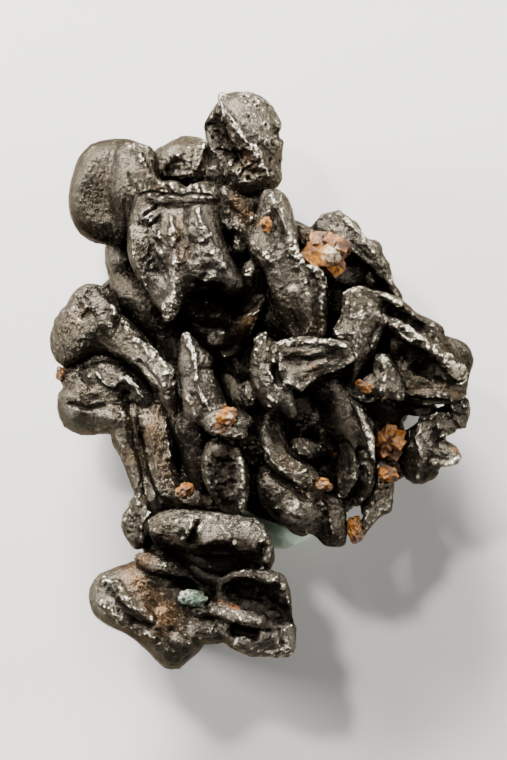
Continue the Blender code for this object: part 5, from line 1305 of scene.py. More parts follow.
fang = {
    "skin": {"pitShare": 0.4},
    "lumps": {
        "fang": {
            "middle": (-3.2, -7.4, 16.4), "thick": 2.3, "edge": 2.5, "turn": 85,
            "outline": [
                (-3.8, -4.6), (-3.0, -4.8), (-2.2, -5.6), (-1.6, -6.6), (-1.3, -7.6), (-1.4, -9.0),
                (-1.7, -10.5), (-2.8, -11.0), (-4.0, -9.8), (-4.8, -8.2), (-5.0, -7.0), (-5.0, -6.0),
                (-4.6, -5.0),
            ],
        },
    },
    "marks": [
        ("ridge", 0.3, 0.3, (-2.4, -5.6), (-1.9, -7.0), (-1.8, -8.8), (-2.0, -10.2)),
        ("bright", 0.35, 0.9, (-2.2, -5.8), (-1.7, -7.4), (-1.7, -9.4)),
        ("groove", 0.9, 0.4, (-3.4, -7.0), (-3.2, -8.6)),
        ("bright", 0.4, 0.5, (-4.6, -6.0), (-4.8, -7.4)),
        ("dark", 1.3, 1.2, (-3.5, -6.0), (-3.3, -8.9)),
    ],
}
massPieces.append(buildPiece("fang", fang))

pitBits = {
    "skin": {"scallop": 0.14},
    "lumps": {
        "pit ball": [(-4.5, 3.4, 12.6, 0.8, 1.0), (-3.6, 3.4, 12.9, 1.0, 1.2), (-2.7, 3.4, 12.6, 0.8, 1.0)],
        "pit blade": [
            (-2.3, 3.0, 12.4, 0.6, 0.9), (-1.7, 4.4, 13.0, 0.85, 1.1), (-0.9, 5.3, 13.2, 0.6, 0.9),
            (0.0, 6.7, 13.4, 0.35, 0.7),
        ],
        "pit chip": [(-3.3, 2.1, 12.2, 0.5, 0.7), (-2.6, 2.4, 12.5, 0.6, 0.8), (-1.9, 2.6, 12.2, 0.5, 0.7)],
        "pit lump": [
            (-1.4, 0.0, 14.0, 0.5, 0.8), (-1.2, -1.3, 14.4, 0.75, 1.0), (-1.5, -2.3, 14.0, 0.5, 0.8),
        ],
        "centre hollow": [
            (-3.4, 0.8, 11.4, 1.2, 1.8), (-1.8, -1.4, 11.4, 1.7, 2.2), (-0.8, -4.0, 11.4, 1.7, 2.2),
            (-0.4, -7.4, 11.4, 1.4, 2.0),
        ],
        "under the blade": [
            (-4.6, 11.4, 11.0, 1.4, 2.2), (-2.6, 9.0, 10.8, 2.0, 2.4), (-0.6, 7.0, 10.4, 2.3, 2.6),
            (2.0, 4.6, 10.4, 2.2, 2.8), (4.2, 2.8, 10.6, 1.6, 2.2),
        ],
        "behind the tooth tip": [
            (-7.4, 9.4, 9.4, 1.6, 2.4), (-5.4, 7.4, 9.6, 2.3, 2.8), (-3.6, 5.4, 9.8, 2.2, 2.6),
            (-2.2, 3.2, 9.8, 1.6, 2.2),
        ],
    },
    "marks": [
        ("bright", 0.6, 0.8, (-3.5, 3.7)),
        ("brown", 0.8, 0.9, (-1.7, 4.3), (-1.2, 5.0)),
        ("bright", 0.3, 0.7, (-2.3, 5.9)),
        ("bright", 0.3, 0.7, (-2.4, 4.7)),
    ],
}
massPieces.append(buildPiece("pitBits", pitBits))

upperLobe = {
    "skin": {"pitShare": 0.3},
    "lumps": {
        "upper lobe": {
            "middle": (-14.0, 4.5, 11.4), "thick": 2.9, "edge": 2.5, "turn": 60,
            "outline": [
                (-14.6, 7.7), (-13.6, 7.85), (-12.5, 7.5), (-11.7, 6.7), (-11.4, 5.2), (-11.0, 3.8),
                (-11.2, 2.4), (-12.4, 1.9), (-13.9, 1.8), (-15.0, 1.3), (-16.0, 0.95), (-16.7, 1.4),
                (-17.1, 2.6), (-17.05, 4.2), (-16.5, 5.5), (-15.9, 6.0), (-15.4, 7.0),
            ],
        },
        "upper arm": [
            (-13.4, 4.9, 11.9, 2.1, 2.2), (-11.8, 3.7, 12.6, 1.75, 2.0), (-10.1, 2.1, 13.6, 1.25, 1.7),
            (-8.8, 0.8, 14.7, 1.15, 1.6), (-7.8, -0.8, 15.5, 1.1, 1.5), (-7.1, -3.0, 15.4, 0.55, 1.0),
        ],
        "lobe shoulder": [
            (-13.9, 6.7, 11.6, 0.9, 1.9), (-12.6, 5.7, 12.4, 1.1, 2.2), (-12.0, 4.0, 12.8, 1.2, 2.1),
            (-10.9, 2.9, 13.0, 0.9, 1.8),
        ],
        "under the tooth tip": [
            (-12.2, 9.0, 8.5, 1.4, 2.2), (-10.3, 7.2, 8.8, 2.0, 2.8), (-8.4, 5.0, 9.0, 2.1, 2.8),
            (-7.0, 2.4, 9.6, 1.8, 2.6),
        ],
        "under the column top": [
            (-8.6, 3.2, 10.4, 1.4, 1.8), (-6.9, 2.2, 11.0, 1.5, 1.8), (-5.2, 1.4, 11.4, 1.5, 1.8),
            (-3.6, 0.6, 11.4, 1.3, 1.8),
        ],
    },
    "marks": [
        (
            "ridge", 0.4, 0.35, (-12.2, 5.8), (-11.5, 4.8), (-10.8, 3.6), (-9.4, 2.5), (-8.5, 1.6),
            (-7.8, 0.6), (-7.3, -0.2)),
        ("bright", 0.6, 0.9, (-12.2, 5.8), (-11.2, 4.2), (-9.6, 2.6), (-8.2, 1.2)),
        ("bright", 0.8, 0.6, (-14.0, 6.0), (-15.2, 4.4)),
        ("brown", 1.2, 0.35, (-14.6, 5.4), (-15.8, 3.8)),
        ("ridge", 0.3, 0.25, (-14.2, 7.0), (-13.4, 5.6), (-13.0, 4.4)),
        ("groove", 0.25, 0.3, (-10.0, 1.4), (-8.8, 0.2), (-8.0, -1.2)),
        ("groove", 0.4, 0.3, (-15.0, 6.2), (-14.2, 5.2)),
        ("dark", 0.45, 0.85, (-14.4, 1.7), (-12.6, 2.2), (-10.8, 1.2), (-9.2, -0.4), (-8.4, -2.0)),
    ],
}
massPieces.append(buildPiece("upperLobe", upperLobe))

lowerLobe = {
    "skin": {"scallop": 0.1},
    "lumps": {
        "lower lobe": {
            "middle": (-13.9, -1.3, 10.8), "thick": 2.4, "edge": 2.5, "turn": 20,
            "outline": [
                (-15.9, 1.1), (-14.6, 1.5), (-13.6, 1.6), (-12.4, 1.6), (-11.2, 1.3), (-10.4, 0.2),
                (-10.4, -1.4), (-11.0, -2.8), (-11.8, -4.2), (-12.9, -4.3), (-13.9, -4.4), (-15.2, -4.25),
                (-16.1, -3.8), (-16.7, -2.8), (-16.8, -1.9), (-16.6, -1.1), (-16.1, -0.6), (-16.4, 0.0),
                (-16.3, 0.7),
            ],
        },
        "lower arm": [
            (-14.2, 0.4, 11.2, 1.1, 1.6), (-12.6, 0.5, 12.0, 1.1, 1.6), (-11.2, 0.0, 12.3, 1.0, 1.5),
            (-10.1, -1.1, 12.5, 0.9, 1.4), (-8.9, -2.3, 12.6, 0.8, 1.2),
        ],
        "lower arm fold": [
            (-14.0, -2.6, 11.0, 1.2, 1.7), (-12.6, -2.7, 11.8, 1.1, 1.5), (-11.5, -3.4, 12.2, 0.9, 1.3),
            (-10.9, -5.0, 12.2, 0.7, 1.1),
        ],
        "thin leg": [
            (-12.0, -2.8, 12.2, 1.0, 1.3), (-11.35, -4.6, 12.3, 0.95, 1.3), (-10.8, -6.2, 12.5, 0.8, 1.1),
            (-10.3, -7.8, 12.8, 0.65, 1.0), (-9.9, -9.6, 13.2, 0.55, 0.9),
        ],
        "under the lower arm": [
            (-15.0, -0.6, 9.6, 1.3, 1.8), (-12.9, -1.3, 10.2, 1.7, 2.0), (-10.8, -2.8, 10.4, 1.4, 2.0),
        ],
        "between the lobes": [
            (-15.5, 1.2, 10.4, 0.9, 1.3), (-13.8, 1.6, 10.8, 1.2, 1.5), (-11.9, 1.6, 11.0, 1.3, 1.6),
            (-10.6, 1.2, 11.2, 0.9, 1.3),
        ],
    },
    "marks": [
        ("ridge", 0.3, 0.3, (-13.2, 0.4), (-12.6, -0.2), (-12.0, -0.3), (-11.2, 0.2), (-10.2, -0.6)),
        ("groove", 0.4, 0.6, (-11.2, -1.3)),
        ("bright", 0.6, 0.9, (-12.8, 0.9), (-13.4, 0.4)),
        ("ridge", 0.2, 0.25, (-11.0, 0.1), (-9.8, -1.3)),
        ("bright", 0.4, 0.8, (-12.1, -2.3), (-11.6, -2.8)),
        ("groove", 0.2, 0.35, (-15.6, -1.9), (-14.0, -2.3), (-12.8, -2.0)),
        ("bright", 0.35, 0.7, (-11.8, -4.6), (-11.0, -6.2), (-10.5, -7.8)),
        ("brown", 0.9, 0.35, (-14.6, -0.8), (-13.0, -1.2)),
        ("rust", 0.4, 0.9, (-16.2, 0.5), (-16.2, -0.1)),
        ("groove", 0.25, 0.3, (-14.6, 0.4), (-13.8, -0.6)),
        ("dark", 0.35, 0.7, (-11.2, -1.4)),
        ("dark", 0.3, 0.6, (-13.2, -0.2), (-12.0, -0.9)),
    ],
}
massPieces.append(buildPiece("lowerLobe", lowerLobe))

stripedBand = {
    "skin": {"scallop": 0.03, "streak": 0.12, "ledge": 0.03, "pit": 0.05},
    "lumps": {
        "striped band": [
            (-9.2, -0.8, 12.4, 1.1, 1.4), (-8.9, -3.0, 12.6, 1.5, 1.6), (-8.5, -5.1, 12.8, 1.35, 1.5),
            (-8.2, -7.1, 13.0, 1.15, 1.4), (-7.5, -8.9, 13.1, 1.0, 1.3), (-6.0, -10.2, 13.2, 0.8, 1.1),
        ],
        "band end": [
            (-6.8, -9.3, 14.0, 0.5, 0.7), (-5.8, -9.4, 14.6, 0.8, 0.9), (-4.8, -9.9, 14.4, 0.5, 0.7),
        ],
        "under the thin leg": [
            (-11.0, -3.8, 10.4, 1.1, 1.6), (-10.1, -5.8, 10.8, 1.3, 1.8), (-9.4, -8.0, 11.2, 1.2, 1.8),
            (-9.1, -10.6, 11.8, 1.2, 1.8), (-9.0, -13.4, 12.2, 1.1, 1.6),
        ],
        "web of the arm": [
            (-10.6, -1.6, 11.6, 1.0, 1.4), (-10.2, -3.6, 11.4, 1.1, 1.4), (-9.8, -6.0, 11.6, 1.0, 1.4),
            (-9.3, -8.6, 11.9, 0.9, 1.3),
        ],
        "above the bar": [
            (-9.0, -9.8, 12.0, 0.9, 1.4), (-6.4, -10.0, 12.2, 1.0, 1.5), (-3.8, -10.0, 12.2, 0.9, 1.4),
            (-2.4, -9.7, 12.0, 0.7, 1.2),
        ],
    },
    "marks": [
        ("brown", 1.3, 0.35, (-8.8, -2.4), (-8.4, -5.2), (-8.0, -7.2)),
        ("rust", 0.5, 0.7, (-6.2, -8.7)),
        ("ridge", 0.3, 0.2, (-8.0, -3.0), (-7.6, -6.2)),
        ("dark", 0.4, 0.8, (-10.1, -3.2), (-9.9, -5.0)),
        ("dark", 0.35, 0.8, (-7.3, -4.0), (-7.1, -7.0)),
    ],
}
massPieces.append(buildPiece("stripedBand", stripedBand))

crossBar = {
    "skin": {"pitShare": 0.3},
    "lumps": {
        "cross bar": {
            "middle": (-4.4, -12.1, 16.4), "thick": 2.2, "edge": 2.8, "turn": -3,
            "outline": [
                (-9.4, -11.9), (-9.1, -10.8), (-7.6, -10.25), (-5.0, -10.35), (-2.8, -10.35), (-1.0, -10.9),
                (0.1, -11.9), (0.6, -13.0), (0.55, -14.2), (-0.1, -14.6), (-1.4, -14.2), (-3.2, -13.9),
                (-5.4, -13.8), (-7.5, -13.5), (-8.9, -12.9),
            ],
        },
        "cross bar belly": [
            (-7.2, -13.3, 14.4, 1.0, 1.5), (-4.3, -13.9, 14.4, 1.3, 1.7), (-1.8, -14.1, 14.2, 1.25, 1.6),
            (0.2, -14.5, 14.2, 0.9, 1.3),
        ],
        "cross bar hook": [
            (0.2, -12.7, 16.4, 0.4, 0.6), (0.35, -14.2, 16.2, 0.4, 0.6), (0.0, -15.5, 15.6, 0.4, 0.6),
        ],
        "left toe": {
            "middle": (-10.1, -11.3, 14.2), "thick": 1.5, "edge": 2.5, "turn": 80,
            "outline": [
                (-10.2, -9.0), (-10.95, -10.0), (-11.35, -11.4), (-11.0, -12.6), (-10.3, -13.5),
                (-9.4, -13.3), (-9.0, -12.2), (-9.0, -10.6), (-9.3, -9.4),
            ],
        },
        "from the bar to the wing": [
            (-9.7, -12.9, 12.6, 0.9, 1.4), (-8.3, -13.7, 12.8, 1.1, 1.5), (-6.8, -14.4, 12.8, 1.0, 1.4),
        ],
    },
    "marks": [
        ("groove", 0.3, 1.1, (-5.4, -11.2), (-5.7, -12.0), (-5.9, -12.8)),
        ("groove", 0.35, 0.8, (-0.1, -13.6), (-0.1, -13.2)),
        (
            "pale", 0.45, 0.6, (-8.8, -10.9), (-7.4, -10.5), (-5.8, -10.6), (-4.0, -10.6), (-2.6, -10.8),
            (-1.4, -11.2)),
        ("pale", 0.35, 0.9, (-2.4, -12.9)),
        ("pale", 0.35, 0.9, (-4.8, -12.7)),
        ("pale", 0.3, 0.8, (-6.5, -12.5)),
        ("bright", 0.9, 1.0, (-8.8, -11.3), (-6.6, -10.9), (-4.2, -11.0), (-2.0, -11.3), (-0.4, -12.0)),
        ("bright", 0.3, 0.9, (-0.2, -12.6), (0.2, -13.8)),
        ("ridge", 0.25, 0.3, (-9.3, -10.6), (-9.8, -11.6), (-9.8, -12.8)),
        ("bright", 0.5, 0.7, (-10.6, -9.8), (-10.9, -11.4)),
        ("groove", 0.3, 0.3, (-6.6, -12.0), (-6.2, -12.8)),
        ("dark", 1.0, 1.2, (-8.4, -12.7), (-6.6, -12.9), (-4.2, -13.1), (-2.0, -13.4), (-0.7, -13.7)),
        ("dark", 0.5, 0.5, (-9.7, -12.6), (-10.0, -11.0)),
    ],
}
massPieces.append(buildPiece("crossBar", crossBar))

wing = {
    "skin": {"scallop": 0.05},
    "lumps": {
        "wing": {
            "middle": (-9.0, -18.5, 13.0), "thick": 2.6, "edge": 2.5, "turn": -38,
            "outline": [
                (-9.4, -13.6), (-10.6, -14.5), (-12.1, -15.0), (-13.2, -15.4), (-13.9, -16.2),
                (-14.1, -17.2), (-13.95, -18.3), (-13.4, -19.1), (-12.6, -19.6), (-11.5, -20.1),
                (-10.4, -20.8), (-9.5, -21.7), (-8.5, -22.7), (-7.5, -23.2), (-6.4, -23.0), (-5.1, -22.3),
                (-4.4, -21.4), (-4.0, -20.2), (-4.2, -19.1), (-4.8, -17.9), (-5.9, -16.6), (-7.2, -15.4),
                (-8.3, -14.3),
            ],
        },
        "wing collar": [
            (-10.4, -14.0, 14.4, 0.55, 0.8), (-9.0, -14.6, 15.2, 0.8, 1.1), (-7.6, -14.9, 15.6, 0.8, 1.1),
            (-6.1, -15.4, 15.2, 0.5, 0.8),
        ],
        "heel bridge": [
            (-6.2, -19.8, 13.6, 1.2, 1.6), (-4.6, -19.9, 14.0, 1.2, 1.5), (-3.0, -20.3, 13.9, 0.9, 1.2),
        ],
    },
    "marks": [
        (
            "ridge", 0.4, 0.35, (-12.8, -16.0), (-11.7, -16.2), (-11.2, -17.2), (-10.6, -17.9),
            (-9.8, -18.3), (-9.0, -19.0)),
        ("ridge", 0.4, 0.35, (-12.7, -17.7), (-12.0, -18.4), (-11.2, -19.2), (-10.0, -19.8), (-8.8, -20.5)),
        ("groove", 0.45, 0.22, (-12.4, -16.9), (-11.6, -18.0), (-10.6, -19.0), (-9.2, -19.7)),
        ("groove", 1.2, 0.3, (-9.4, -16.8), (-8.8, -17.6)),
        ("brown", 1.7, 0.8, (-10.2, -15.9), (-8.8, -17.4), (-7.6, -18.8)),
        ("ridge", 0.9, 0.35, (-6.4, -20.6)),
        ("bright", 0.4, 1.0, (-12.4, -16.1), (-11.4, -17.0), (-10.2, -18.2), (-9.0, -19.0)),
        ("bright", 0.35, 0.9, (-12.4, -18.0), (-11.2, -19.2), (-9.4, -20.2)),
        ("brown", 0.9, 0.7, (-9.4, -14.2), (-11.4, -14.8)),
        ("groove", 0.25, 0.3, (-7.6, -16.4), (-6.4, -16.0)),
        ("groove", 0.3, 0.3, (-7.4, -20.0), (-6.2, -20.6)),
        ("dark", 0.35, 0.7, (-12.2, -17.0), (-11.4, -18.2), (-10.2, -19.2), (-9.0, -20.0)),
        ("dark", 0.4, 0.6, (-7.8, -15.8), (-6.4, -16.2)),
    ],
}
massPieces.append(buildPiece("wing", wing))

shellAndHeel = {
    "skin": {"scallop": 0.1},
    "lumps": {
        "shell rim": [
            (-3.9, -16.9, 15.4, 0.35, 0.6), (-3.1, -15.9, 16.0, 0.5, 0.8), (-1.6, -15.4, 16.2, 0.5, 0.9),
            (0.1, -15.5, 16.2, 0.5, 0.9), (1.3, -15.9, 15.9, 0.5, 0.9), (1.75, -16.9, 15.2, 0.35, 0.7),
        ],
        "shell floor": {
            "middle": (-0.6, -17.2, 13.9), "thick": 1.5, "edge": 2.8, "turn": -30,
            "outline": [
                (-3.7, -16.5), (-3.0, -15.6), (-1.8, -15.2), (0.0, -15.25), (1.2, -15.5), (1.8, -16.0),
                (2.05, -17.0), (2.05, -18.3), (2.2, -19.4), (1.0, -19.6), (-0.5, -19.0), (-2.5, -18.2),
                (-3.9, -17.3),
            ],
        },
        "heel ridge": [
            (-4.9, -18.3, 15.0, 0.4, 0.6), (-3.6, -18.4, 15.5, 0.6, 0.9), (-1.9, -18.8, 15.9, 0.65, 1.0),
            (-0.3, -19.1, 15.9, 0.65, 1.0), (0.7, -19.7, 15.5, 0.5, 0.8),
        ],
        "heel": {
            "middle": (-0.8, -20.4, 14.2), "thick": 1.7, "edge": 2.6, "turn": -10,
            "outline": [
                (-4.1, -19.3), (-3.9, -20.4), (-3.0, -21.3), (-1.9, -21.8), (-0.4, -22.15), (1.4, -22.15),
                (2.3, -21.5), (2.55, -20.5), (2.3, -19.4), (0.5, -19.0), (-2.0, -18.5), (-3.8, -18.4),
            ],
        },
        "heel web": [
            (-5.8, -18.7, 14.4, 0.8, 1.2), (-4.2, -18.2, 14.8, 0.65, 1.0), (-2.6, -18.1, 14.8, 0.6, 1.0),
            (-0.8, -18.6, 14.6, 0.5, 0.9),
        ],
        "heel floor": [
            (-3.2, -20.0, 12.8, 1.2, 1.3), (-0.8, -20.1, 12.9, 1.25, 1.3), (1.4, -19.5, 12.9, 1.1, 1.2),
        ],
        "shell wall": [
            (-5.8, -14.6, 12.6, 1.1, 1.6), (-4.0, -15.4, 12.8, 1.1, 1.5), (-2.0, -15.6, 12.8, 0.9, 1.2),
        ],
    },
    "marks": [
        ("bright", 0.35, 0.9, (-3.5, -16.2), (-2.4, -15.5), (-0.6, -15.4), (1.0, -15.7)),
        ("rust", 0.35, 0.9, (-3.8, -17.6), (-2.2, -18.2)),
        ("bright", 0.3, 0.9, (-4.0, -18.6), (-2.0, -18.9), (-0.4, -19.3)),
        ("groove", 0.7, 0.5, (-2.4, -16.6), (-0.4, -17.3), (1.0, -18.0), (2.2, -18.6)),
        ("groove", 0.4, 0.8, (-2.4, -20.0), (-0.8, -20.2)),
        ("bright", 0.6, 0.7, (-3.0, -21.4), (-0.6, -21.9), (1.2, -21.6)),
        ("ridge", 0.25, 0.25, (1.4, -16.4), (1.8, -18.0), (2.0, -19.6)),
        ("groove", 0.25, 0.3, (1.2, -19.8), (1.4, -21.2)),
        ("dark", 1.3, 1.1, (-2.6, -16.7), (-0.8, -17.4), (0.8, -18.2), (2.0, -18.7)),
        ("dark", 0.5, 1.0, (-2.4, -20.0), (-0.8, -20.2)),
    ],
}
massPieces.append(buildPiece("shellAndHeel", shellAndHeel))

backCore = {
    "voxel": 0.2,
    "facet": 1.4,
    "lumps": {
        "low fold under the tooth": [
            (-9.5, 12.5, 4.5, 1.4, 2.2), (-6.2, 13.6, 4.0, 1.8, 2.8), (-2.6, 13.2, 4.6, 1.9, 2.8),
            (0.8, 11.6, 4.6, 1.4, 2.2),
        ],
        "low spine": [(-7.5, 9.5, 4.4, 1.6, 2.6), (-7.8, 5.6, 4.2, 2.2, 3.1), (-7.4, 1.8, 4.6, 1.6, 2.6)],
        "chin of the top knob": [
            (-3.8, 16.8, 6.2, 1.5, 2.2), (-2.0, 19.0, 6.8, 1.8, 2.6), (-1.4, 21.0, 8.4, 1.3, 1.9),
        ],
        "core": [
            (-6.5, 6.0, 8.5, 2.0, 2.8), (-3.0, 3.5, 8.5, 2.6, 3.3), (0.0, 1.0, 8.5, 3.0, 3.8),
            (3.0, -1.5, 8.6, 3.0, 3.8), (6.5, -3.5, 9.2, 2.4, 3.2),
        ],
        "core right": [
            (0.5, 12.5, 9.0, 1.6, 2.6), (3.0, 9.5, 8.8, 2.2, 3.2), (5.5, 6.5, 8.8, 2.4, 3.2),
            (8.0, 3.0, 9.0, 2.4, 3.0), (10.5, -0.5, 9.6, 2.0, 2.6),
        ],
        "core lower": [
            (-4.5, -0.5, 8.8, 2.2, 3.0), (-3.0, -4.5, 8.8, 2.4, 3.2), (-1.0, -8.0, 9.0, 2.4, 3.0),
            (2.0, -10.0, 9.4, 2.0, 2.8), (5.4, -11.2, 10.4, 1.6, 2.4),
        ],
        "top knob root": [
            (-2.0, 21.0, 11.0, 1.8, 2.2), (-2.5, 18.0, 9.0, 2.2, 3.0), (-3.5, 14.5, 8.0, 2.6, 3.4),
            (-4.5, 11.0, 8.0, 2.8, 3.6), (-5.0, 7.0, 8.5, 2.4, 3.2),
        ],
        "arm root": [
            (15.3, 0.7, 12.0, 0.9, 1.4), (12.5, 0.3, 10.6, 1.5, 2.2), (10.0, -1.0, 9.4, 1.7, 2.6),
            (7.0, -3.0, 9.0, 2.0, 2.8),
        ],
        "rest under the core": {
            "middle": (-1.2, 0.6, 4.1), "thick": 4.0, "edge": 2.6, "turn": 80,
            "outline": [
                (1.4, -0.4), (1.8, 2.0), (0.4, 4.4), (-1.8, 5.0), (-3.6, 3.4), (-3.9, 0.6), (-3.2, -2.2),
                (-1.2, -3.6), (0.6, -2.8),
            ],
        },
        "shoulder of the core rest": [
            (-0.6, -2.8, 5.0, 1.4, 2.2), (0.8, -4.8, 5.4, 1.9, 2.8), (0.4, -7.2, 6.4, 1.3, 2.0),
        ],
    },
}
massPieces.append(buildPiece("backCore", backCore))

backLeft = {
    "voxel": 0.2,
    "facet": 1.4,
    "lumps": {
        "low fold on the left": [
            (-11.2, 11.0, 5.2, 1.3, 2.0), (-10.8, 8.4, 4.6, 1.5, 2.6), (-12.4, 5.4, 4.6, 1.9, 2.9),
            (-12.4, 2.6, 5.0, 1.5, 2.2),
        ],
        "low fold under the bands": [
            (-10.6, -1.6, 4.8, 1.4, 2.2), (-9.6, -4.8, 4.4, 1.7, 2.8), (-8.4, -8.0, 4.4, 1.8, 2.8),
            (-7.8, -11.2, 5.0, 1.6, 2.5), (-8.0, -14.4, 4.8, 1.3, 2.6), (-8.4, -17.0, 5.0, 1.3, 2.0),
        ],
        "chin of the lobes": [
            (-14.6, 4.4, 6.6, 1.3, 2.0), (-14.2, 1.0, 6.4, 1.4, 2.3), (-13.6, -2.2, 6.6, 1.2, 2.0),
        ],
        "upper lobe root": [
            (-14.8, 5.8, 9.0, 1.6, 2.0), (-12.0, 3.5, 8.2, 2.0, 2.6), (-9.5, 1.5, 8.2, 2.2, 2.8),
            (-6.6, -0.8, 8.8, 2.2, 3.0),
        ],
        "lower lobe root": [
            (-14.8, -1.5, 9.0, 1.4, 1.8), (-12.2, -2.4, 8.4, 1.7, 2.2), (-9.8, -4.0, 8.4, 1.7, 2.4),
            (-7.8, -6.2, 9.0, 1.7, 2.6), (-6.8, -9.0, 9.8, 1.7, 2.4), (-6.8, -12.5, 10.6, 1.6, 2.4),
        ],
        "rest under the lobes": {
            "middle": (-10.2, -0.6, 4.6), "thick": 3.9, "edge": 2.4, "turn": 35,
            "outline": [
                (-7.4, -1.2), (-7.8, 0.8), (-9.4, 2.2), (-11.6, 2.6), (-13.2, 1.4), (-13.0, -0.8),
                (-11.6, -2.6), (-9.6, -3.2),
            ],
        },
        "back saddle": [
            (-8.6, 8.8, 6.0, 1.2, 1.8), (-7.4, 6.2, 5.0, 2.0, 2.8), (-5.2, 4.0, 5.2, 1.6, 2.4),
            (-4.6, 0.8, 5.8, 1.2, 2.0),
        ],
        "rest under the left knob": {
            "middle": (-10.8, 13.4, 3.9), "thick": 4.1, "edge": 2.4, "turn": 60,
            "outline": [
                (-7.6, 12.4), (-8.2, 14.6), (-9.8, 16.4), (-12.0, 16.8), (-13.6, 15.4), (-13.8, 13.2),
                (-12.9, 11.2), (-11.0, 9.9), (-8.8, 10.4),
            ],
        },
        "nub beside the left knob rest": [
            (-8.2, 10.6, 4.2, 1.2, 1.8), (-6.2, 9.8, 4.8, 1.7, 2.6), (-4.2, 10.6, 5.4, 1.2, 1.8),
        ],
        "left knob root": [
            (-13.5, 17.0, 8.8, 1.9, 2.0), (-11.5, 14.5, 8.0, 2.2, 2.6), (-9.0, 12.0, 8.0, 2.2, 2.8),
            (-6.0, 10.0, 8.0, 2.0, 2.6),
        ],
    },
}
massPieces.append(buildPiece("backLeft", backLeft))

backRight = {
    "voxel": 0.2,
    "facet": 1.4,
    "lumps": {
        "low fold on the right": [
            (4.8, 8.6, 5.0, 1.4, 2.2), (7.8, 7.0, 4.4, 2.0, 2.9), (9.8, 4.2, 4.6, 1.9, 2.8),
            (11.0, 1.6, 5.0, 1.4, 2.2),
        ],
        "low fold under the right knob": [
            (9.6, -3.4, 5.0, 1.2, 2.0), (11.0, -5.8, 4.6, 1.5, 2.6), (10.0, -7.2, 5.0, 1.3, 2.1),
            (8.4, -8.2, 5.6, 1.2, 1.8),
        ],
        "low spur": [(3.0, -3.6, 4.4, 1.5, 2.4), (6.0, -3.4, 4.0, 2.0, 3.1), (8.2, -2.4, 4.4, 1.4, 2.2)],
        "chin of the arm": [
            (14.4, 1.4, 8.4, 1.1, 1.7), (13.0, 0.6, 7.2, 1.4, 2.2), (11.4, 0.0, 6.4, 1.4, 2.0),
        ],
        "right knob base": [
            (13.2, -6.7, 10.4, 1.3, 1.8), (11.2, -6.0, 9.4, 1.3, 2.2), (9.0, -6.2, 8.8, 1.6, 2.6),
            (7.0, -8.0, 9.0, 1.8, 2.6), (5.3, -10.8, 9.8, 1.5, 2.2),
        ],
        "upper right root": [
            (4.3, 11.8, 9.4, 1.3, 2.0), (6.5, 9.4, 9.0, 1.6, 2.4), (8.2, 7.0, 9.4, 1.6, 2.4),
            (10.2, 4.6, 10.4, 1.3, 2.0),
        ],
        "rest under the arm": {
            "middle": (9.6, -1.2, 4.0), "thick": 4.2, "edge": 2.5, "turn": 115,
            "outline": [
                (12.0, -1.6), (12.4, 0.4), (11.2, 2.0), (9.2, 2.2), (7.6, 1.0), (7.0, -1.2), (7.6, -3.6),
                (9.4, -4.8), (11.2, -3.6),
            ],
        },
        "toe of the arm rest": [
            (8.6, -3.4, 4.6, 1.2, 2.0), (7.2, -5.4, 4.0, 1.6, 2.6), (5.0, -6.4, 4.6, 1.4, 2.2),
        ],
        "rest under the blade": {
            "middle": (2.6, 9.6, 4.0), "thick": 4.2, "edge": 2.5, "turn": -65,
            "outline": [
                (5.2, 8.6), (4.8, 10.8), (3.4, 12.6), (1.4, 12.9), (0.0, 11.6), (-0.3, 9.6), (0.8, 7.4),
                (2.4, 6.4), (4.4, 6.6),
            ],
        },
        "fold of the blade rest": [
            (4.0, 6.9, 5.0, 1.1, 1.8), (5.8, 5.4, 5.2, 1.5, 2.4), (7.8, 5.0, 6.2, 1.1, 1.8),
        ],
        "back strut": [(2.2, 1.8, 5.2, 1.3, 2.0), (4.4, 2.6, 4.4, 1.9, 3.0), (7.0, 1.6, 5.0, 1.4, 2.2)],
    },
}
massPieces.append(buildPiece("backRight", backRight))

backLower = {
    "voxel": 0.2,
    "facet": 1.4,
    "lumps": {
        "low fold under the heel": [
            (-5.0, -18.5, 4.6, 1.5, 2.4), (-2.2, -19.2, 4.2, 1.9, 2.9), (0.4, -19.2, 5.4, 1.6, 2.4),
            (1.4, -18.6, 7.0, 1.0, 1.6),
        ],
        "stem to the wing": [
            (-6.8, -10.0, 10.8, 1.7, 2.4), (-6.2, -13.0, 10.4, 1.9, 2.6), (-5.6, -15.5, 10.0, 2.0, 2.8),
            (-6.5, -18.0, 9.8, 2.4, 3.0), (-9.0, -19.2, 10.4, 2.0, 2.6),
        ],
        "heel root": [
            (-5.4, -17.0, 9.6, 1.9, 2.6), (-2.6, -18.6, 10.0, 1.9, 2.6), (0.0, -19.3, 11.0, 1.7, 2.4),
            (1.7, -19.9, 12.0, 1.1, 1.8),
        ],
        "rest under the wing": {
            "middle": (-6.6, -18.8, 4.2), "thick": 4.4, "edge": 2.4, "turn": -20,
            "outline": [
                (-3.6, -18.6), (-4.2, -16.8), (-6.2, -15.9), (-8.6, -16.4), (-10.0, -18.0), (-9.6, -20.0),
                (-7.6, -21.2), (-5.2, -21.0),
            ],
        },
        "heel rest": [
            (-3.6, -19.6, 5.8, 1.2, 1.8), (-1.8, -19.0, 6.6, 1.5, 2.2), (0.2, -18.2, 8.0, 1.1, 1.6),
        ],
        "back rib": [
            (-6.4, -4.6, 6.4, 1.2, 2.0), (-5.0, -7.8, 5.8, 1.9, 2.6), (-5.8, -11.2, 6.2, 1.5, 2.4),
            (-5.0, -14.4, 6.4, 1.9, 2.8), (-6.0, -16.6, 6.4, 1.3, 2.0),
        ],
    },
}
massPieces.append(buildPiece("backLower", backLower))

keepDepth(massPieces)
print("mass sculpted:", sum(len(piece.data.polygons) for piece in massPieces), "faces")

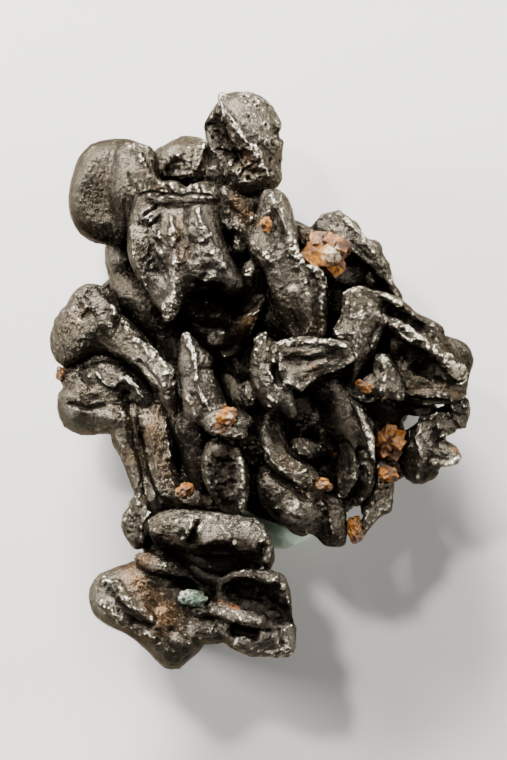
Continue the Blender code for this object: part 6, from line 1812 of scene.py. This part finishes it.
clotSettings = {
    "core": 0.86,
    "coreFlat": 0.66,
    "coreFacings": ((0.8, 0.3, 0.5), (-0.7, 0.5, 0.5), (0.1, -0.9, 0.4), (0.2, 0.1, 1.0), (-0.5, -0.6, 0.6)),
    "bitPlace": (0.62, 0.86),
    "bitSpread": (0.5, 1.2),
    "voxel": 0.07,
    "swell": 0.16,
    "grit": 0.06,
}


def sugarGrain(name, centre, halves, turn, seed, bits, bitSize):
    # a clot of small chipped blocks, fused
    rng = np.random.default_rng(seed)
    clot = bmesh.new()
    core = bmesh.ops.create_icosphere(clot, subdivisions=3, radius=clotSettings["core"])["verts"]
    for vert in core:
        for facing in clotSettings["coreFacings"]:
            facing = Vector(facing).normalized()
            vert.co -= facing * max(0.0, vert.co.dot(facing) - clotSettings["coreFlat"])
    for _ in range(bits):
        spot = Vector(rng.normal(size=3)).normalized() * rng.uniform(*clotSettings["bitPlace"])
        size = bitSize * rng.uniform(*clotSettings["bitSpread"])
        block = bmesh.ops.create_cube(clot, size=size)["verts"]
        tilt = Matrix.Rotation(rng.uniform(0, 6.3), 4, Vector(rng.normal(size=3)).normalized())
        bmesh.ops.transform(clot, matrix=Matrix.Translation(spot) @ tilt, verts=block)
    place = (
        Matrix.Translation(Vector(centre)) @ Matrix.Rotation(np.radians(turn), 4, "Z")
        @ Matrix.Diagonal((*halves, 1)))
    bmesh.ops.transform(clot, matrix=place, verts=clot.verts)
    grain = newObject(clot, name)
    voxelSkin(grain, clotSettings["voxel"])
    points, normals = readPoints(grain.data)
    push = clotSettings["swell"] * min(halves) * layeredNoise(points * 0.9 / min(halves), 2, seed)
    push += clotSettings["grit"] * layeredNoise(points * 3.4, 3, seed)
    points = points + normals * push[:, None]
    writePoints(grain.data, points)
    points, normals = readPoints(grain.data)
    keepValue(grain.data, "wear", ridgeValue(grain.data, points, normals, 4) / 0.05)
    heart = np.array([centre[0] + 0.25 * halves[0], centre[1]])
    reach = np.linalg.norm((points[:, :2] - heart) / (0.5 * halves[0]), axis=1)
    keepValue(grain.data, "cream", 1 - ramp(reach, 0.5, 1.3))
    settle(grain)
    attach(grain, "root")
    return grain


grainBits = 24
grainBitSize = 0.66
creamy = ("calcite_upper_right", "calcite_seat")
# x, y, height, half sizes, turn, seed; the same places as the solids
grains = {
    "calcite_upper_right": (4.9, 9.95, 14.2, 1.75, 1.75, 1.5, 20, 3),
    "calcite_right": (9.95, -5.1, 13.5, 1.35, 1.25, 1.2, 35, 8),
    "calcite_fin": (9.85, -7.5, 14.4, 0.6, 0.75, 0.9, 60, 5),
    "calcite_lower_right": (7.15, -11.9, 13.9, 0.62, 1.1, 0.9, 8, 11),
    "calcite_worm": (4.65, -8.35, 16.7, 0.7, 0.5, 0.7, -12, 13),
    "calcite_seat": (-3.0, -2.9, 19.1, 0.85, 0.6, 0.6, 25, 17),
    "calcite_band": (-6.25, -8.7, 14.9, 0.75, 0.55, 0.8, 30, 19),
    "calcite_wedge": (7.8, -0.5, 18.3, 0.75, 0.4, 0.65, -20, 23),
    "calcite_blade": (0.1, 12.3, 18.6, 0.42, 0.65, 0.6, 10, 29),
    "calcite_cleft": (-16.3, 0.5, 12.6, 0.45, 0.6, 0.75, 0, 31),
}
orangeGrain = grainFinish("rusty_calcite", 0.1)
creamGrain = grainFinish("creamy_calcite", 1.0)
for name, (x, y, z, wide, tall, thick, turn, seed) in grains.items():
    grain = sugarGrain(name + "_grain", (x, y, z), (wide, tall, thick), turn, seed, grainBits, grainBitSize)
    grain.data.materials.append(creamGrain if name in creamy else orangeGrain)
    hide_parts(name)

crustClot = {
    "centre": (-5.8, -17.35, 15.5),
    "halves": (1.15, 0.72, 0.9),
    "turn": -8,
    "seed": 37,
    "bits": 70,
    "bitSize": 0.42,
}
crust = sugarGrain("green_crust_cover", **crustClot)
crust.data.materials.append(crustFinish())
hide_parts("green_crust")

puttyLump = {
    "centre": (1.25, -10.5, 3.5),
    "halves": (3.45, 3.2, 4.3),
    "dent": 0.18,
    "dentSize": 1.6,
}
putty = bmesh.new()
bmesh.ops.create_icosphere(putty, subdivisions=6, radius=1.0)
place = Matrix.Translation(puttyLump["centre"]) @ Matrix.Diagonal((*puttyLump["halves"], 1))
bmesh.ops.transform(putty, matrix=place, verts=putty.verts)
putty = newObject(putty, "putty_lump")
points, normals = readPoints(putty.data)
dents = layeredNoise(points / puttyLump["dentSize"], 3, 4) * puttyLump["dent"]
writePoints(putty.data, points + normals * dents[:, None])
settle(putty)
putty.data.materials.append(puttyFinish())
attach(putty, "root")
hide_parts("green_putty")
print("grains, crust and putty placed")

studio = {
    "floorHalf": 0.9,
    "floorTones": ((0.74, 0.73, 0.72, 1), (0.78, 0.77, 0.76, 1)),
    "cameraMiddle": (-0.92, 0.0),  # drawn place at the middle of the frame
    "viewHeight": 60.8,  # millimetres of the subject from the frame's foot to its top
    "focusHeight": 12.0,
    "lens": 300.0,
    "lights": {
        # place, size, power, colour
        "skyPanel": ((-0.07, 0.26, 0.17), 0.12, 4.2, (1.0, 0.98, 0.94)),
        "glintPanel": ((-0.10, 0.13, 0.32), 0.03, 1.0, (1.0, 0.97, 0.92)),
        "rightPanel": ((0.22, 0.06, 0.10), 0.08, 0.5, (1.0, 0.97, 0.93)),
        "leftPanel": ((-0.22, 0.08, 0.12), 0.08, 0.8, (1.0, 0.98, 0.95)),
    },
    "world": 0.045,
}


def buildFloor():
    bm = bmesh.new()
    bmesh.ops.create_grid(bm, x_segments=8, y_segments=8, size=studio["floorHalf"])
    floor = newObject(bm, "floor")
    m = Finish("pale_floor")
    tone = m.noise(m.place(), 30.0, 3.0, 0.5)
    colour = m.mix(tone, *studio["floorTones"])
    floor.data.materials.append(m.surface(baseColor=colour, roughness=tone.ramped(0, 1, 0.75, 0.85)))


def addPanel(name, place, size, power, colour):
    light = bpy.data.lights.new(name, "AREA")
    light.size = size
    light.energy = power
    light.color = colour
    panel = bpy.data.objects.new(name, light)
    panel.location = place
    panel.rotation_euler = (-Vector(place)).to_track_quat("-Z", "Y").to_euler()
    bpy.context.scene.collection.objects.link(panel)


def buildStudio():
    for name, settings in studio["lights"].items():
        addPanel(name, *settings)
    world = bpy.data.worlds.new("studio")
    world.use_nodes = True
    level = studio["world"]
    world.node_tree.nodes["Background"].inputs["Color"].default_value = (level, level, level, 1)
    bpy.context.scene.world = world


def buildCamera():
    lens = bpy.data.cameras.new("camera")
    lens.lens = studio["lens"]
    lens.sensor_fit = "VERTICAL"
    lens.sensor_height = 36.0
    lens.clip_start = 0.01
    distance = studio["viewHeight"] * studio["lens"] / lens.sensor_height
    camera = bpy.data.objects.new("camera", lens)
    x, y = studio["cameraMiddle"]
    camera.location = (np.array([x, y, studio["focusHeight"] + distance]) - drawnMiddle) * mm
    bpy.context.scene.collection.objects.link(camera)
    bpy.context.scene.camera = camera


buildFloor()
buildStudio()
buildCamera()
print("studio ready")
